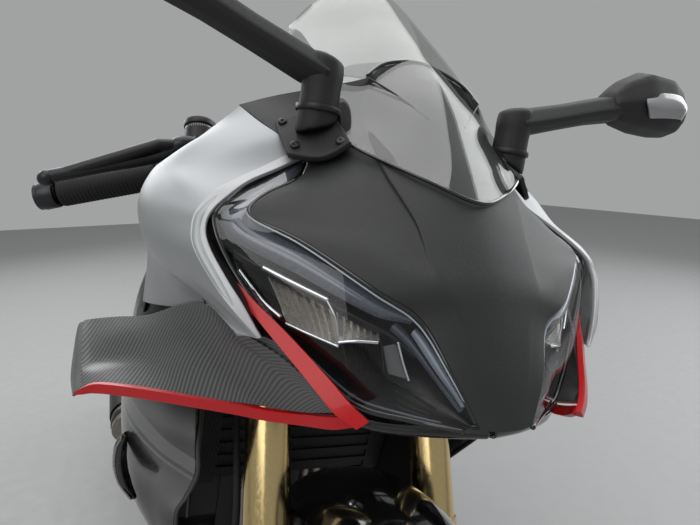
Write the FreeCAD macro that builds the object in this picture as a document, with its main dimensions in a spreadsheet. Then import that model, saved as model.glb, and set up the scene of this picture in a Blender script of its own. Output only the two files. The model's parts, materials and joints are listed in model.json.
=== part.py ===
import FreeCAD, Part
import math
import os
import Sketcher
from FreeCAD import Placement, Rotation, Vector

# A fully faired sport bike on its side stand, in millimetres.
# The bike is drawn upright: X to the rider's left, -Y forward, Z up, origin on the ground
# midway between the axles. At the end every sub-part leans with the bike onto the stand.

os.makedirs("parts", exist_ok=True)
doc = FreeCAD.newDocument("sport_bike")
sheet = doc.addObject("Spreadsheet::Sheet", "Sizes")

# The driving dimensions: name, value, what it measures.
DIMENSIONS = (
    ("wheelbase", 1400, "between the axles"),
    ("lean_angle", 10, "lean to the left on the side stand, degrees"),
    ("rake_angle", 24.5, "steering axis from the vertical, degrees"),
    ("front_tyre_radius", 300, "to the crown"),
    ("front_crown_radius", 60, "round section of the tread"),
    ("rear_tyre_radius", 315, "to the crown"),
    ("rear_crown_radius", 95, "round section of the tread"),
    ("bead_radius", 216, "seat of the tyre on the rim, 17 inch"),
    ("rim_flange_height", 12, "above the bead seat"),
    ("rim_wall", 6, "barrel and flange thickness"),
    ("front_rim_half_width", 44.5, "between the flanges"),
    ("rear_rim_half_width", 70, "between the flanges"),
    ("tyre_wall", 11, "tread and side wall thickness"),
    ("fit_gap", 0.3, "seated pieces of one body"),
    ("running_gap", 0.05, "radial play of shafts and bearings"),
    ("side_gap", 0.5, "end play beside hubs and clamps"),
    ("spoke_count", 5, "forked spokes of each wheel"),
    ("spoke_depth", 28, "along the axle"),
    ("axle_radius", 12.5, "both wheel axles"),
    ("axle_bore_radius", 8, "hollow front axle"),
    ("front_hub_half_length", 62, "over the front disc flanges"),
    ("hub_radius", 30, "wheel hubs"),
    ("flange_radius", 58, "bolt flanges of discs and sprocket"),
    ("front_disc_radius", 150, "front brake discs"),
    ("front_disc_middle", 72, "disc plane from the wheel's plane"),
    ("disc_thickness", 5, "brake discs"),
    ("disc_band", 34, "radial width of the braking ring"),
    ("rear_disc_radius", 110, "rear brake disc"),
    ("rear_disc_middle", 99, "to the right of the wheel's plane"),
    ("rear_hub_half_length", 88, "over the rear flanges"),
    ("pad_gap", 1, "caliper to disc on each face"),
    ("chain_line", 103, "middle of the chain, to the left"),
    ("chain_pitch", 15.875, "roller to roller"),
    ("chain_height", 12, "link plates"),
    ("chain_width", 18, "over the pins"),
    ("front_sprocket_teeth", 16, "gearbox sprocket"),
    ("rear_sprocket_teeth", 45, "wheel sprocket"),
    ("sprocket_thickness", 6, "rear sprocket"),
    ("front_sprocket_y", 10, "gearbox output"),
    ("front_sprocket_z", 405, "gearbox output"),
    ("fork_spacing", 206, "between the fork tubes"),
    ("fork_offset", 36.1, "tubes ahead of the steering axis"),
    ("upper_tube_radius", 25, "gold outer tubes"),
    ("lower_tube_radius", 20.5, "bright sliding tubes"),
    ("upper_tube_bottom", 556, "along the steering axis"),
    ("upper_tube_top", 1032, "along the steering axis"),
    ("lower_clamp_level", 846, "along the steering axis"),
    ("upper_clamp_level", 978, "along the steering axis"),
    ("clamp_thickness", 26, "both fork clamps"),
    ("stem_radius", 15, "steering stem"),
    ("head_tube_radius", 32, "outside of the head tube"),
    ("lug_radius", 27, "axle lugs of the fork"),
    ("bar_radius", 11, "clip-on handlebars"),
    ("grip_radius", 16.5, "rubber grips"),
    ("bar_level", 1009, "bars at the forks, along the steering axis"),
    ("fender_radius", 314, "inside of the front fender"),
    ("fender_thickness", 3, "front fender wall"),
    ("cowl_thickness", 3, "moulded cowls"),
    ("lens_thickness", 3, "headlamp lenses and screen"),
    ("swingarm_pivot_y", 110, "swingarm pivot"),
    ("swingarm_pivot_z", 400, "swingarm pivot"),
    ("pivot_tube_radius", 25, "swingarm pivot tube"),
    ("pivot_half_length", 117, "swingarm pivot tube"),
    ("pivot_bolt_radius", 9, "swingarm pivot bolt"),
    ("frame_plate_width", 26, "pivot plates of the frame"),
    ("arm_inner", 120, "swingarm ends from the middle plane"),
    ("arm_width", 25, "swingarm ends"),
    ("cap_radius", 44, "fuel filler cap"),
    ("cap_thickness", 9, "fuel filler cap"),
    ("filler_y", -150, "middle of the filler"),
    ("filler_z", 989, "top of the filler ring"),
    ("stay_radius", 11, "seat frame stays"),
    ("stand_pivot_x", 128, "side stand pivot"),
    ("stand_pivot_y", 80, "side stand pivot"),
    ("stand_pivot_z", 250, "side stand pivot"),
    ("stand_foot_x", 232, "side stand foot"),
    ("stand_foot_y", 22, "side stand foot"),
    ("stand_foot_thickness", 6, "side stand foot"),
    ("stand_leg_radius", 10, "side stand leg"),
)

for row, (alias, number, meaning) in enumerate(DIMENSIONS, start=1):
    sheet.set(f"A{row}", alias.replace("_", " "))
    sheet.set(f"B{row}", str(number))
    sheet.set(f"C{row}", meaning)
    sheet.setAlias(f"B{row}", alias)
doc.recompute()


def value(rule):
    """A number worked out from the sheet, by the same rule that an object is bound to."""
    found = sheet.evalExpression(rule)
    return float(getattr(found, "Value", found))


def size(alias):
    """One cell of the sheet."""
    return float(sheet.get(alias))


LEAN = size("lean_angle")
TAN_LEAN = math.tan(math.radians(LEAN))
COS_LEAN = math.cos(math.radians(LEAN))
RAKE = math.radians(size("rake_angle"))
FORK_X = size("fork_spacing") / 2
FIT = size("fit_gap")
RUN = size("running_gap")


def leaning_height(radius, crown):
    """Axle height at which a leaning tyre's round crown just touches the ground."""
    return radius - crown + crown / COS_LEAN


FRONT_AXLE = Vector(0, -size("wheelbase") / 2,
                    leaning_height(size("front_tyre_radius"), size("front_crown_radius")))
REAR_AXLE = Vector(0, size("wheelbase") / 2,
                   leaning_height(size("rear_tyre_radius"), size("rear_crown_radius")))
AXIS_FOOT_Y = FRONT_AXLE.y - FRONT_AXLE.z * math.tan(RAKE) + size("fork_offset") / math.cos(RAKE)
STEERING = Placement(Vector(0, AXIS_FOOT_Y, 0), Rotation(Vector(1, 0, 0), -size("rake_angle")))
FRONT_WHEEL = Placement(FRONT_AXLE, Rotation())
REAR_WHEEL = Placement(REAR_AXLE, Rotation())
UPRIGHT = Placement()
AXLE_IN_STEERING = STEERING.inverse().multVec(FRONT_AXLE)

nodes = []


def node(name, piece, place=UPRIGHT):
    """Lists a sub-part under its own name, with its place on the upright bike."""
    piece.Label = name
    nodes.append((name, piece, place))
    return piece


def solid(kind, name, rules, place=UPRIGHT):
    """A primitive whose sizes follow the sheet."""
    piece = doc.addObject(kind, name)
    for property_name, rule in rules.items():
        piece.setExpression(property_name, rule)
    piece.Placement = place
    return piece


def rod(name, start, end, radius_rule):
    """A round bar between two points."""
    piece = doc.addObject("Part::Cylinder", name)
    piece.setExpression("Radius", radius_rule)
    piece.Height = (end - start).Length
    piece.Placement = Placement(start, Rotation(Vector(0, 0, 1), end - start))
    return piece


def block(name, low, high):
    """A box between two opposite corners."""
    piece = doc.addObject("Part::Box", name)
    piece.Length = high.x - low.x
    piece.Width = high.y - low.y
    piece.Height = high.z - low.z
    piece.Placement = Placement(low, Rotation())
    return piece


def fuse(name, pieces):
    piece = doc.addObject("Part::MultiFuse", name)
    piece.Shapes = pieces
    return piece


def cut(name, base, tool):
    piece = doc.addObject("Part::Cut", name)
    piece.Base = base
    piece.Tool = tool
    return piece


def mirrored(name, source):
    """The same piece on the other side of the bike."""
    piece = doc.addObject("Part::Mirroring", name)
    piece.Source = source
    piece.Normal = Vector(1, 0, 0)
    return piece


def group(name, pieces):
    """Pieces that share a node without touching."""
    piece = doc.addObject("Part::Compound", name)
    piece.Links = pieces
    return piece


def pair(name, source):
    """A piece and its mirror image."""
    return group(name, [source, mirrored(name + "_right", source)])


def formed(name, shape):
    """A moulded piece whose shape is worked out below."""
    piece = doc.addObject("Part::Feature", name)
    piece.Shape = shape
    return piece


def skin(rows, inward, thickness):
    """A moulded wall through rows of points, thickened along one direction."""
    step = Vector(*inward).normalize() * thickness
    outside = [[Vector(*point) for point in row] for row in rows]
    inside = [[point + step for point in row] for row in outside]
    last_row, last_column = len(rows) - 1, len(rows[0]) - 1
    faces = []

    def patch(a, b, c, d):
        surface = Part.BezierSurface()
        for row, column, corner in ((1, 1, a), (1, 2, b), (2, 1, d), (2, 2, c)):
            surface.setPole(row, column, corner)
        faces.append(surface.toShape())

    for i in range(last_row):
        for j in range(last_column):
            for wall in (outside, inside):
                patch(wall[i][j], wall[i][j + 1], wall[i + 1][j + 1], wall[i + 1][j])
        for j in (0, last_column):
            patch(outside[i][j], outside[i + 1][j], inside[i + 1][j], inside[i][j])
    for i in (0, last_row):
        for j in range(last_column):
            patch(outside[i][j], outside[i][j + 1], inside[i][j + 1], inside[i][j])
    shell = Part.makeShell(faces)
    shell.sewShape()
    made = Part.makeSolid(shell)
    if made.Volume < 0:
        made.reverse()
    return made


def loft(sections):
    """A solid through closed sections with the same number of corners."""
    wires = [Part.makePolygon([Vector(*point) for point in section + section[:1]]) for section in sections]
    return Part.makeLoft(wires, True, True)


def across(y, half):
    """A closed section at one place along the bike, from half of its outline (x, z)."""
    return [(x, y, z) for x, z in half] + [(-x, y, z) for x, z in reversed(half)]


def bent_tube(points, bend_radius, radius):
    """A round pipe of straight runs and tangent arcs."""
    points = [Vector(*point) for point in points]
    edges, start = [], points[0]
    for before, corner, after in zip(points, points[1:], points[2:]):
        back, ahead = (before - corner).normalize(), (after - corner).normalize()
        half_angle = back.getAngle(ahead) / 2
        reach = bend_radius / math.tan(half_angle)
        first, final = corner + back * reach, corner + ahead * reach
        bisector = (back + ahead).normalize()
        middle = corner + bisector * (bend_radius / math.sin(half_angle) - bend_radius)
        edges += [Part.LineSegment(start, first).toShape(), Part.Arc(first, middle, final).toShape()]
        start = final
    edges.append(Part.LineSegment(start, points[-1]).toShape())
    ring = Part.Wire([Part.makeCircle(radius, points[0], points[1] - points[0])])
    return Part.Wire(edges).makePipeShell([ring], True, False)


def sketch_on(body, role, name, offset_rule=None):
    """A sketch on one of a body's own planes, moved along its normal by a rule."""
    plane = [plane for plane in body.Origin.OriginFeatures if plane.Role == role][0]
    sketch = body.newObject("Sketcher::SketchObject", name)
    sketch.AttachmentSupport = [(plane, "")]
    sketch.MapMode = "FlatFace"
    if offset_rule:
        sketch.setExpression("AttachmentOffset.Base.z", offset_rule)
    return sketch


def outline(sketch, corners):
    """A closed outline whose corners are held by rules of the sheet."""
    spots = [Vector(value(across_rule), value(up_rule), 0) for across_rule, up_rule in corners]
    first = sketch.GeometryCount
    count = len(spots)
    for index, spot in enumerate(spots):
        sketch.addGeometry(Part.LineSegment(spot, spots[(index + 1) % count]), False)
    for index in range(count):
        ahead = first + (index + 1) % count
        sketch.addConstraint(Sketcher.Constraint("Coincident", first + index, 2, ahead, 1))
    for index, (across_rule, up_rule) in enumerate(corners):
        for direction, rule in (("DistanceX", across_rule), ("DistanceY", up_rule)):
            number = sketch.addConstraint(
                Sketcher.Constraint(direction, -1, 1, first + index, 1, value(rule)))
            sketch.setExpression(f"Constraints[{number}]", rule)


def ring_line(sketch, radius_rule):
    """A circle about the sketch's origin."""
    index = sketch.addGeometry(Part.Circle(Vector(0, 0, 0), Vector(0, 0, 1), value(radius_rule)), False)
    sketch.addConstraint(Sketcher.Constraint("Coincident", index, 3, -1, 1))
    number = sketch.addConstraint(Sketcher.Constraint("Radius", index, value(radius_rule)))
    sketch.setExpression(f"Constraints[{number}]", radius_rule)


def turned(body, sketch, name):
    """The sketch turned about its own horizontal axis."""
    feature = body.newObject("PartDesign::Revolution", name)
    feature.Profile = sketch
    feature.ReferenceAxis = (sketch, ["H_Axis"])
    feature.Angle = 360
    return feature


def padded(body, sketch, name, length_rule):
    """The sketch pushed out equally to both sides."""
    feature = body.newObject("PartDesign::Pad", name)
    feature.Profile = sketch
    feature.setExpression("Length", length_rule)
    feature.Midplane = True
    return feature


def repeated(body, feature, name, count_rule):
    """A feature repeated round the axle."""
    pattern = body.newObject("PartDesign::PolarPattern", name)
    pattern.Originals = [feature]
    axis = [line for line in body.Origin.OriginFeatures if line.Role == "X_Axis"][0]
    pattern.Axis = (axis, [""])
    pattern.Angle = 360
    pattern.setExpression("Occurrences", count_rule)
    body.Tip = pattern
    return pattern


# Tyres: hollow rubber rings whose tread is a round crown, each seated between rim flanges.

def tyre(end, crown_angles):
    body = doc.addObject("PartDesign::Body", end + "_tyre_body")
    radius, crown = f"Sizes.{end}_tyre_radius", f"Sizes.{end}_crown_radius"
    bead_x = f"Sizes.{end}_rim_half_width - Sizes.fit_gap"
    seat = "Sizes.bead_radius + Sizes.fit_gap"
    half = [(f"{crown} * sin({angle} deg)", f"{radius} - {crown} + {crown} * cos({angle} deg)")
            for angle in crown_angles]
    half += [(bead_x, f"{seat} + Sizes.rim_flange_height"), (bead_x, seat)]
    half += [(f"{bead_x} - Sizes.tyre_wall / 2", seat)]
    half += [(f"{crown} * 0.78", f"{radius} - {crown} * 0.68"),
             (f"{crown} * 0.35", f"{radius} - Sizes.tyre_wall * 1.6")]
    corners = half + [("-(" + x + ")", z) for x, z in reversed(half)]
    profile = sketch_on(body, "XZ_Plane", end + "_tyre_profile")
    outline(profile, corners)
    turned(body, profile, end + "_tyre_ring")
    return body


node("front_tyre", tyre("front", (10, 38, 72)), FRONT_WHEEL)
node("rear_tyre", tyre("rear", (10, 40, 68)), REAR_WHEEL)


# Rims: cast barrel with a drop centre, hub with bearing bore, and forked spokes.

def rim(end, hub_length_rule):
    body = doc.addObject("PartDesign::Body", end + "_rim_body")
    half_width, bead = f"Sizes.{end}_rim_half_width", "Sizes.bead_radius"
    wall, top = "Sizes.rim_wall", "Sizes.bead_radius + Sizes.rim_flange_height"
    half = [(f"{half_width} + {wall}", f"{bead} - {wall}"), (f"{half_width} + {wall}", top),
            (half_width, top), (half_width, bead), (f"{half_width} * 0.5", bead),
            (f"{half_width} * 0.35", f"{bead} - 16")]
    under = [(f"{half_width} * 0.3", f"{bead} - 16 - {wall}")]
    corners = half + [("-(" + x + ")", z) for x, z in reversed(half)]
    corners += [("-(" + x + ")", z) for x, z in under] + under
    barrel = sketch_on(body, "XZ_Plane", end + "_barrel_profile")
    outline(barrel, corners)
    turned(body, barrel, end + "_barrel")
    hub = sketch_on(body, "XZ_Plane", end + "_hub_profile")
    bore = "Sizes.axle_radius + Sizes.running_gap"
    flange = f"{hub_length_rule} - 12"
    outline(hub, [(f"-({hub_length_rule})", bore), (hub_length_rule, bore),
                  (hub_length_rule, "Sizes.flange_radius"), (flange, "Sizes.flange_radius"),
                  (flange, "Sizes.hub_radius"), (f"-({flange})", "Sizes.hub_radius"),
                  (f"-({flange})", "Sizes.flange_radius"), (f"-({hub_length_rule})", "Sizes.flange_radius")])
    turned(body, hub, end + "_hub")
    spoke = sketch_on(body, "YZ_Plane", end + "_spoke_profile")
    reach = f"{bead} - 16 - {wall} / 2"
    root = "Sizes.hub_radius - 6"
    outline(spoke, [("-14", root), ("14", root), ("12", f"{bead} * 0.42"), ("50", f"{reach} - 6"),
                    ("32", reach), ("1", f"{bead} * 0.54"), ("-1", f"{bead} * 0.54"), ("-32", reach),
                    ("-50", f"{reach} - 6"), ("-12", f"{bead} * 0.42")])
    arm = padded(body, spoke, end + "_spoke", "Sizes.spoke_depth")
    repeated(body, arm, end + "_spokes", "Sizes.spoke_count")
    return body


node("front_rim", rim("front", "Sizes.front_hub_half_length"), FRONT_WHEEL)
node("rear_rim", rim("rear", "Sizes.rear_hub_half_length"), REAR_WHEEL)


# Brake discs: a braking ring on five arms, bolted to the hub's flange.

def disc(end, side, hub_length_rule):
    body = doc.addObject("PartDesign::Body", f"{end}_disc_body")
    middle = f"{side} * Sizes.{end}_disc_middle"
    radius = f"Sizes.{end}_disc_radius"
    ring = sketch_on(body, "YZ_Plane", f"{end}_disc_ring_profile", middle)
    ring_line(ring, radius)
    ring_line(ring, f"{radius} - Sizes.disc_band")
    padded(body, ring, f"{end}_disc_ring", "Sizes.disc_thickness")
    carrier = sketch_on(body, "YZ_Plane", f"{end}_carrier_profile", middle)
    ring_line(carrier, "Sizes.flange_radius")
    ring_line(carrier, "Sizes.hub_radius + 6")
    padded(body, carrier, f"{end}_carrier", "Sizes.disc_thickness")
    arm = sketch_on(body, "YZ_Plane", f"{end}_disc_arm_profile", middle)
    reach = f"{radius} - Sizes.disc_band + 3"
    outline(arm, [("-9", "Sizes.flange_radius - 4"), ("9", "Sizes.flange_radius - 4"), ("6", reach),
                  ("-6", reach)])
    spoke = padded(body, arm, f"{end}_disc_arm", "Sizes.disc_thickness")
    repeated(body, spoke, f"{end}_disc_arms", "Sizes.spoke_count * 2")
    spacer = solid("Part::Cylinder", f"{end}_disc_spacer", {
        "Radius": "Sizes.flange_radius - 4",
        "Height": f"Sizes.{end}_disc_middle - Sizes.disc_thickness / 2 - {hub_length_rule}"})
    spacer.Placement = Placement(Vector(value(f"{side} * ({hub_length_rule})"), 0, 0),
                                 Rotation(Vector(0, 0, 1), Vector(float(side), 0, 0)))
    bore = solid("Part::Cylinder", f"{end}_disc_bore", {"Radius": "Sizes.hub_radius + 6", "Height": "200"})
    bore.Placement = Placement(Vector(-100, 0, 0), Rotation(Vector(0, 0, 1), Vector(1, 0, 0)))
    return fuse(f"{end}_disc", [body, cut(f"{end}_disc_seat", spacer, bore)])


node("front_discs", pair("front_disc_pair", disc("front", "1", "Sizes.front_hub_half_length")), FRONT_WHEEL)
node("rear_disc", disc("rear", "-1", "Sizes.rear_hub_half_length"), REAR_WHEEL)


# Rear sprocket: toothed ring on the left flange, its tips just inside the chain's rollers.

def sprocket():
    body = doc.addObject("PartDesign::Body", "sprocket_body")
    pitch_radius = "Sizes.chain_pitch / (2 * sin(180 deg / Sizes.rear_sprocket_teeth))"
    tip = f"{pitch_radius} - Sizes.chain_height / 2 - Sizes.fit_gap * 3"
    plate = sketch_on(body, "YZ_Plane", "sprocket_profile", "Sizes.chain_line")
    ring_line(plate, f"{tip} - 7")
    ring_line(plate, "Sizes.hub_radius + 6")
    padded(body, plate, "sprocket_plate", "Sizes.sprocket_thickness")
    tooth = sketch_on(body, "YZ_Plane", "tooth_profile", "Sizes.chain_line")
    outline(tooth, [("-5.5", f"{tip} - 10"), ("5.5", f"{tip} - 10"), ("2", tip), ("-2", tip)])
    first = padded(body, tooth, "tooth", "Sizes.sprocket_thickness")
    repeated(body, first, "teeth", "Sizes.rear_sprocket_teeth")
    seat_start = value("Sizes.rear_hub_half_length")
    seat = solid("Part::Cylinder", "sprocket_spacer", {
        "Radius": "Sizes.flange_radius",
        "Height": "Sizes.chain_line - Sizes.sprocket_thickness / 2 - Sizes.rear_hub_half_length"},
        Placement(Vector(seat_start, 0, 0), Rotation(Vector(0, 0, 1), Vector(1, 0, 0))))
    bore = solid("Part::Cylinder", "sprocket_bore", {"Radius": "Sizes.hub_radius + 6", "Height": "200"},
                 Placement(Vector(0, 0, 0), Rotation(Vector(0, 0, 1), Vector(1, 0, 0))))
    return fuse("sprocket", [body, cut("sprocket_seat", seat, bore)])


node("rear_sprocket", sprocket(), REAR_WHEEL)


# Fork: clamps on a stem, gold outer tubes, bright sliding tubes with axle lugs, hollow axle.
# All of it is drawn about the steering axis, Z along it and -Y forward.

FORK_Y = -size("fork_offset")
AXLE_LEVEL = AXLE_IN_STEERING.z


def fork_clamp(level_name):
    body = doc.addObject("PartDesign::Body", level_name + "_body")
    plate = sketch_on(body, "XY_Plane", level_name + "_outline", f"Sizes.{level_name}_level")
    reach = "Sizes.fork_spacing / 2 + Sizes.upper_tube_radius + 10"
    front = "-(Sizes.fork_offset + Sizes.upper_tube_radius + 10)"
    half = [("Sizes.fork_spacing / 2 - 22", front), ("Sizes.fork_spacing / 2 + 14", front),
            (reach, f"{front} + 16"), (reach, "-Sizes.fork_offset + 20"),
            ("Sizes.fork_spacing / 2 + 8", "-Sizes.fork_offset + 36"), ("26", "Sizes.head_tube_radius - 4"),
            ("14", "Sizes.head_tube_radius")]
    corners = half + [(f"-({x})", y) for x, y in reversed(half)]
    outline(plate, corners)
    padded(body, plate, level_name + "_plate", "Sizes.clamp_thickness")
    holes = [tube_hole(level_name, side) for side in (-1, 1)]
    return cut(level_name, body, fuse(level_name + "_holes", holes))


def tube_hole(level_name, side):
    hole = solid("Part::Cylinder", f"{level_name}_hole_{side + 1}", {
        "Radius": "Sizes.upper_tube_radius + Sizes.running_gap", "Height": "200"})
    hole.Placement = Placement(Vector(side * FORK_X, FORK_Y, size(level_name + "_level") - 100), Rotation())
    return hole


stem = rod("stem", Vector(0, 0, size("lower_clamp_level")), Vector(0, 0, size("upper_clamp_level") + 22),
           "Sizes.stem_radius")
node("triple_clamps", fuse("triple_clamps", [fork_clamp("lower_clamp"), fork_clamp("upper_clamp"), stem]),
     STEERING)


def upper_tube():
    low = Vector(FORK_X, FORK_Y, size("upper_tube_bottom"))
    high = Vector(FORK_X, FORK_Y, size("upper_tube_top"))
    tube = rod("upper_tube", low, high, "Sizes.upper_tube_radius")
    collar = rod("upper_collar", low, low + Vector(0, 0, 14), "Sizes.upper_tube_radius + 2")
    bore = rod("upper_bore", low - Vector(0, 0, 5), low + Vector(0, 0, 150),
               "Sizes.lower_tube_radius + Sizes.running_gap")
    return cut("upper_tube_bored", fuse("upper_tube_outer", [tube, collar]), bore)


node("fork_tubes", pair("fork_tube_pair", upper_tube()), STEERING)


def sliding_tube():
    """A bright tube, its axle lug with the caliper's arms and the spacer to the hub."""
    foot = Vector(FORK_X, FORK_Y, AXLE_LEVEL)
    lug_in = Vector(size("front_hub_half_length") + 22, FORK_Y, AXLE_LEVEL)
    lug_out = Vector(FORK_X + 24, FORK_Y, AXLE_LEVEL)
    tube = rod("sliding_tube", foot, Vector(FORK_X, FORK_Y, size("upper_tube_bottom") + 120),
               "Sizes.lower_tube_radius")
    boot = rod("sliding_boot", foot, foot + Vector(0, 0, 78), "Sizes.lower_tube_radius + 2.9")
    lug = rod("axle_lug", lug_in, lug_out, "Sizes.lug_radius")
    hub_side = Vector(size("front_hub_half_length") + size("side_gap"), FORK_Y, AXLE_LEVEL)
    spacer = rod("axle_spacer", hub_side, lug_in, "Sizes.axle_radius + 6")
    arm = block("caliper_arm", Vector(FORK_X - 12, FORK_Y, AXLE_LEVEL + 52),
                Vector(FORK_X + 12, FORK_Y + 56, AXLE_LEVEL + 72))
    upper_arm = block("caliper_upper_arm", Vector(FORK_X - 12, FORK_Y, AXLE_LEVEL + 148),
                      Vector(FORK_X + 12, FORK_Y + 56, AXLE_LEVEL + 166))
    bore = rod("lug_bore", Vector(0, FORK_Y, AXLE_LEVEL), Vector(200, FORK_Y, AXLE_LEVEL),
               "Sizes.axle_radius + Sizes.running_gap")
    return cut("sliding_leg", fuse("sliding_leg_outer", [tube, boot, lug, spacer, arm, upper_arm]), bore)


def front_axle():
    half_length = FORK_X + 30
    shaft = rod("front_axle_shaft", Vector(-half_length, FORK_Y, AXLE_LEVEL),
                Vector(half_length, FORK_Y, AXLE_LEVEL), "Sizes.axle_radius")
    head = rod("front_axle_head", Vector(-half_length - 6, FORK_Y, AXLE_LEVEL),
               Vector(-half_length, FORK_Y, AXLE_LEVEL), "Sizes.axle_radius + 4")
    bore = rod("front_axle_bore", Vector(-half_length - 10, FORK_Y, AXLE_LEVEL),
               Vector(half_length + 5, FORK_Y, AXLE_LEVEL), "Sizes.axle_bore_radius")
    return cut("front_axle", fuse("front_axle_outer", [shaft, head]), bore)


leg = sliding_tube()
node("fork_legs", group("fork_leg_group", [leg, mirrored("sliding_leg_right", leg), front_axle()]), STEERING)


# Front calipers: bolted to the legs' arms, each straddling its disc.

def front_caliper():
    middle = size("front_disc_middle")
    body = block("front_caliper_block", Vector(middle - 24, FORK_Y + 56 + FIT, AXLE_LEVEL + 46),
                 Vector(FORK_X + 14, FORK_Y + 116, AXLE_LEVEL + 166))
    half_slot = size("disc_thickness") / 2 + size("pad_gap")
    disc_space = rod("front_caliper_slot", Vector(middle - half_slot, FORK_Y, AXLE_LEVEL),
                     Vector(middle + half_slot, FORK_Y, AXLE_LEVEL), "Sizes.front_disc_radius + 4")
    return cut("front_caliper", body, disc_space)


node("front_calipers", pair("front_caliper_pair", front_caliper()), STEERING)


# Handlebars: clips round the fork tubes under the top clamp, bars, rubber grips and end weights.

BAR_LEVEL = size("bar_level")
BAR_START = Vector(FORK_X, FORK_Y, BAR_LEVEL)
BAR_END = Vector(345, 74, BAR_LEVEL - 46)
BAR_RUN = BAR_END - BAR_START


def along_bar(share):
    return BAR_START + BAR_RUN * share


def clip_on():
    ring = rod("bar_clip", Vector(FORK_X, FORK_Y, BAR_LEVEL - 15), Vector(FORK_X, FORK_Y, BAR_LEVEL + 15),
               "Sizes.upper_tube_radius + 8")
    bar = rod("bar", BAR_START, BAR_END, "Sizes.bar_radius")
    weight = rod("bar_weight", BAR_END, BAR_END + Vector(BAR_RUN).normalize() * 22, "Sizes.grip_radius")
    hole = rod("bar_clip_hole", Vector(FORK_X, FORK_Y, 0), Vector(FORK_X, FORK_Y, 1200),
               "Sizes.upper_tube_radius + Sizes.running_gap")
    return cut("clip_on", fuse("clip_on_outer", [ring, bar, weight]), hole)


node("clip_ons", pair("clip_on_pair", clip_on()), STEERING)


def grip():
    outer = rod("grip_outer", along_bar(0.53), along_bar(0.995), "Sizes.grip_radius")
    bore = rod("grip_bore", along_bar(0.4), along_bar(1.1), "Sizes.bar_radius + Sizes.running_gap")
    return cut("grip", outer, bore)


node("grips", pair("grip_pair", grip()), STEERING)


# Hand controls: a perch clamped to each bar carries the lever, switches and, at right, the fluid cup.

def perch(side_name):
    clamp = rod(side_name + "_perch", along_bar(0.30), along_bar(0.40), "Sizes.bar_radius + 8")
    switches = rod(side_name + "_switches", along_bar(0.415), along_bar(0.52), "Sizes.bar_radius + 11")
    neck = rod(side_name + "_perch_neck", along_bar(0.35), along_bar(0.35) + Vector(2, -44, 8), "8")
    pivot = along_bar(0.35) + Vector(2, -46, 8)
    knuckle = rod(side_name + "_knuckle", pivot - Vector(0, 0, 9), pivot + Vector(0, 0, 9), "11")
    elbow = pivot + Vector(48, 4, -6)
    tip = along_bar(0.99) + Vector(6, -72, -12)
    blade = rod(side_name + "_lever_inner", pivot, elbow, "6.5")
    finger = rod(side_name + "_lever", elbow, tip, "6.5")
    ball = solid("Part::Sphere", side_name + "_lever_ball", {"Radius": "9"}, Placement(tip, Rotation()))
    bend = solid("Part::Sphere", side_name + "_lever_bend", {"Radius": "6.5"}, Placement(elbow, Rotation()))
    bore = rod(side_name + "_perch_bore", along_bar(0.12), along_bar(0.9),
               "Sizes.bar_radius + Sizes.running_gap")
    pieces = [clamp, switches, neck, knuckle, blade, finger, ball, bend]
    if side_name == "brake":
        cup = along_bar(0.36) + Vector(0, -14, 24)
        pieces.append(rod("fluid_stem", along_bar(0.36) + Vector(0, -6, 10), cup + Vector(0, 0, 4), "7"))
        pieces.append(rod("fluid_cup", cup, cup + Vector(0, 0, 32), "18"))
        pieces.append(rod("master_cylinder", along_bar(0.23) + Vector(2, -21, 5),
                          along_bar(0.325) + Vector(2, -19, 5), "9"))
    return cut(side_name + "_control", fuse(side_name + "_control_outer", pieces), bore)


node("hand_controls", group("hand_control_group", [
    perch("clutch"), mirrored("brake_control_right", perch("brake"))]), STEERING)


# Front fender: a thin arched shell over the tyre, held to the legs by side brackets.

def fender_shape():
    """An arched section turned about the axle from ahead of the leg to behind it."""
    inner, thickness = size("fender_radius"), size("fender_thickness")
    half = ((0, 0), (38, -8), (60, -26), (70, -52))
    outer = [(x, inner + thickness + drop) for x, drop in half]
    under = [(max(x - thickness, 0), inner + drop) for x, drop in half]
    corners = outer + list(reversed(under[1:])) + [(-x, z) for x, z in under]
    corners += [(-x, z) for x, z in reversed(outer[1:])]
    section = Part.Face(Part.makePolygon([Vector(x, 0, z) for x, z in corners + corners[:1]]))
    section.rotate(Vector(0, 0, 0), Vector(1, 0, 0), 38)
    return section.revolve(Vector(0, 0, 0), Vector(1, 0, 0), -108)


fender_shell = formed("fender_shell", fender_shape())
fender_shell.Placement = Placement(Vector(0, FORK_Y, AXLE_LEVEL), Rotation(Vector(1, 0, 0), size("rake_angle")))


def fender_bracket():
    inner = FORK_X - size("upper_tube_radius") - 4
    low = Vector(67.5, FORK_Y - 20, AXLE_LEVEL + 200)
    plate = block("fender_plate", low, Vector(inner, FORK_Y + 20, AXLE_LEVEL + 270))
    ear = block("fender_ear", Vector(inner - 2, FORK_Y - 16, AXLE_LEVEL + 204),
                Vector(FORK_X, FORK_Y + 16, AXLE_LEVEL + 226))
    around = rod("fender_leg_hole", Vector(FORK_X, FORK_Y, AXLE_LEVEL), Vector(FORK_X, FORK_Y, AXLE_LEVEL + 400),
                 "Sizes.lower_tube_radius + Sizes.fit_gap")
    return cut("fender_bracket", fuse("fender_bracket_outer", [plate, ear]), around)


bracket = fender_bracket()
node("front_fender", fuse("front_fender", [fender_shell, bracket, mirrored("fender_bracket_right", bracket)]),
     STEERING)


# Frame: head tube, two alloy spars down to the swingarm plates, cross tubes and the seat frame.

PIVOT = Vector(0, size("swingarm_pivot_y"), size("swingarm_pivot_z"))
PLATE_IN = size("pivot_half_length") + FIT
PLATE_OUT = PLATE_IN + size("frame_plate_width")


def in_bike(x, y, z):
    """A point given about the steering axis, on the upright bike."""
    return STEERING.multVec(Vector(x, y, z))


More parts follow.
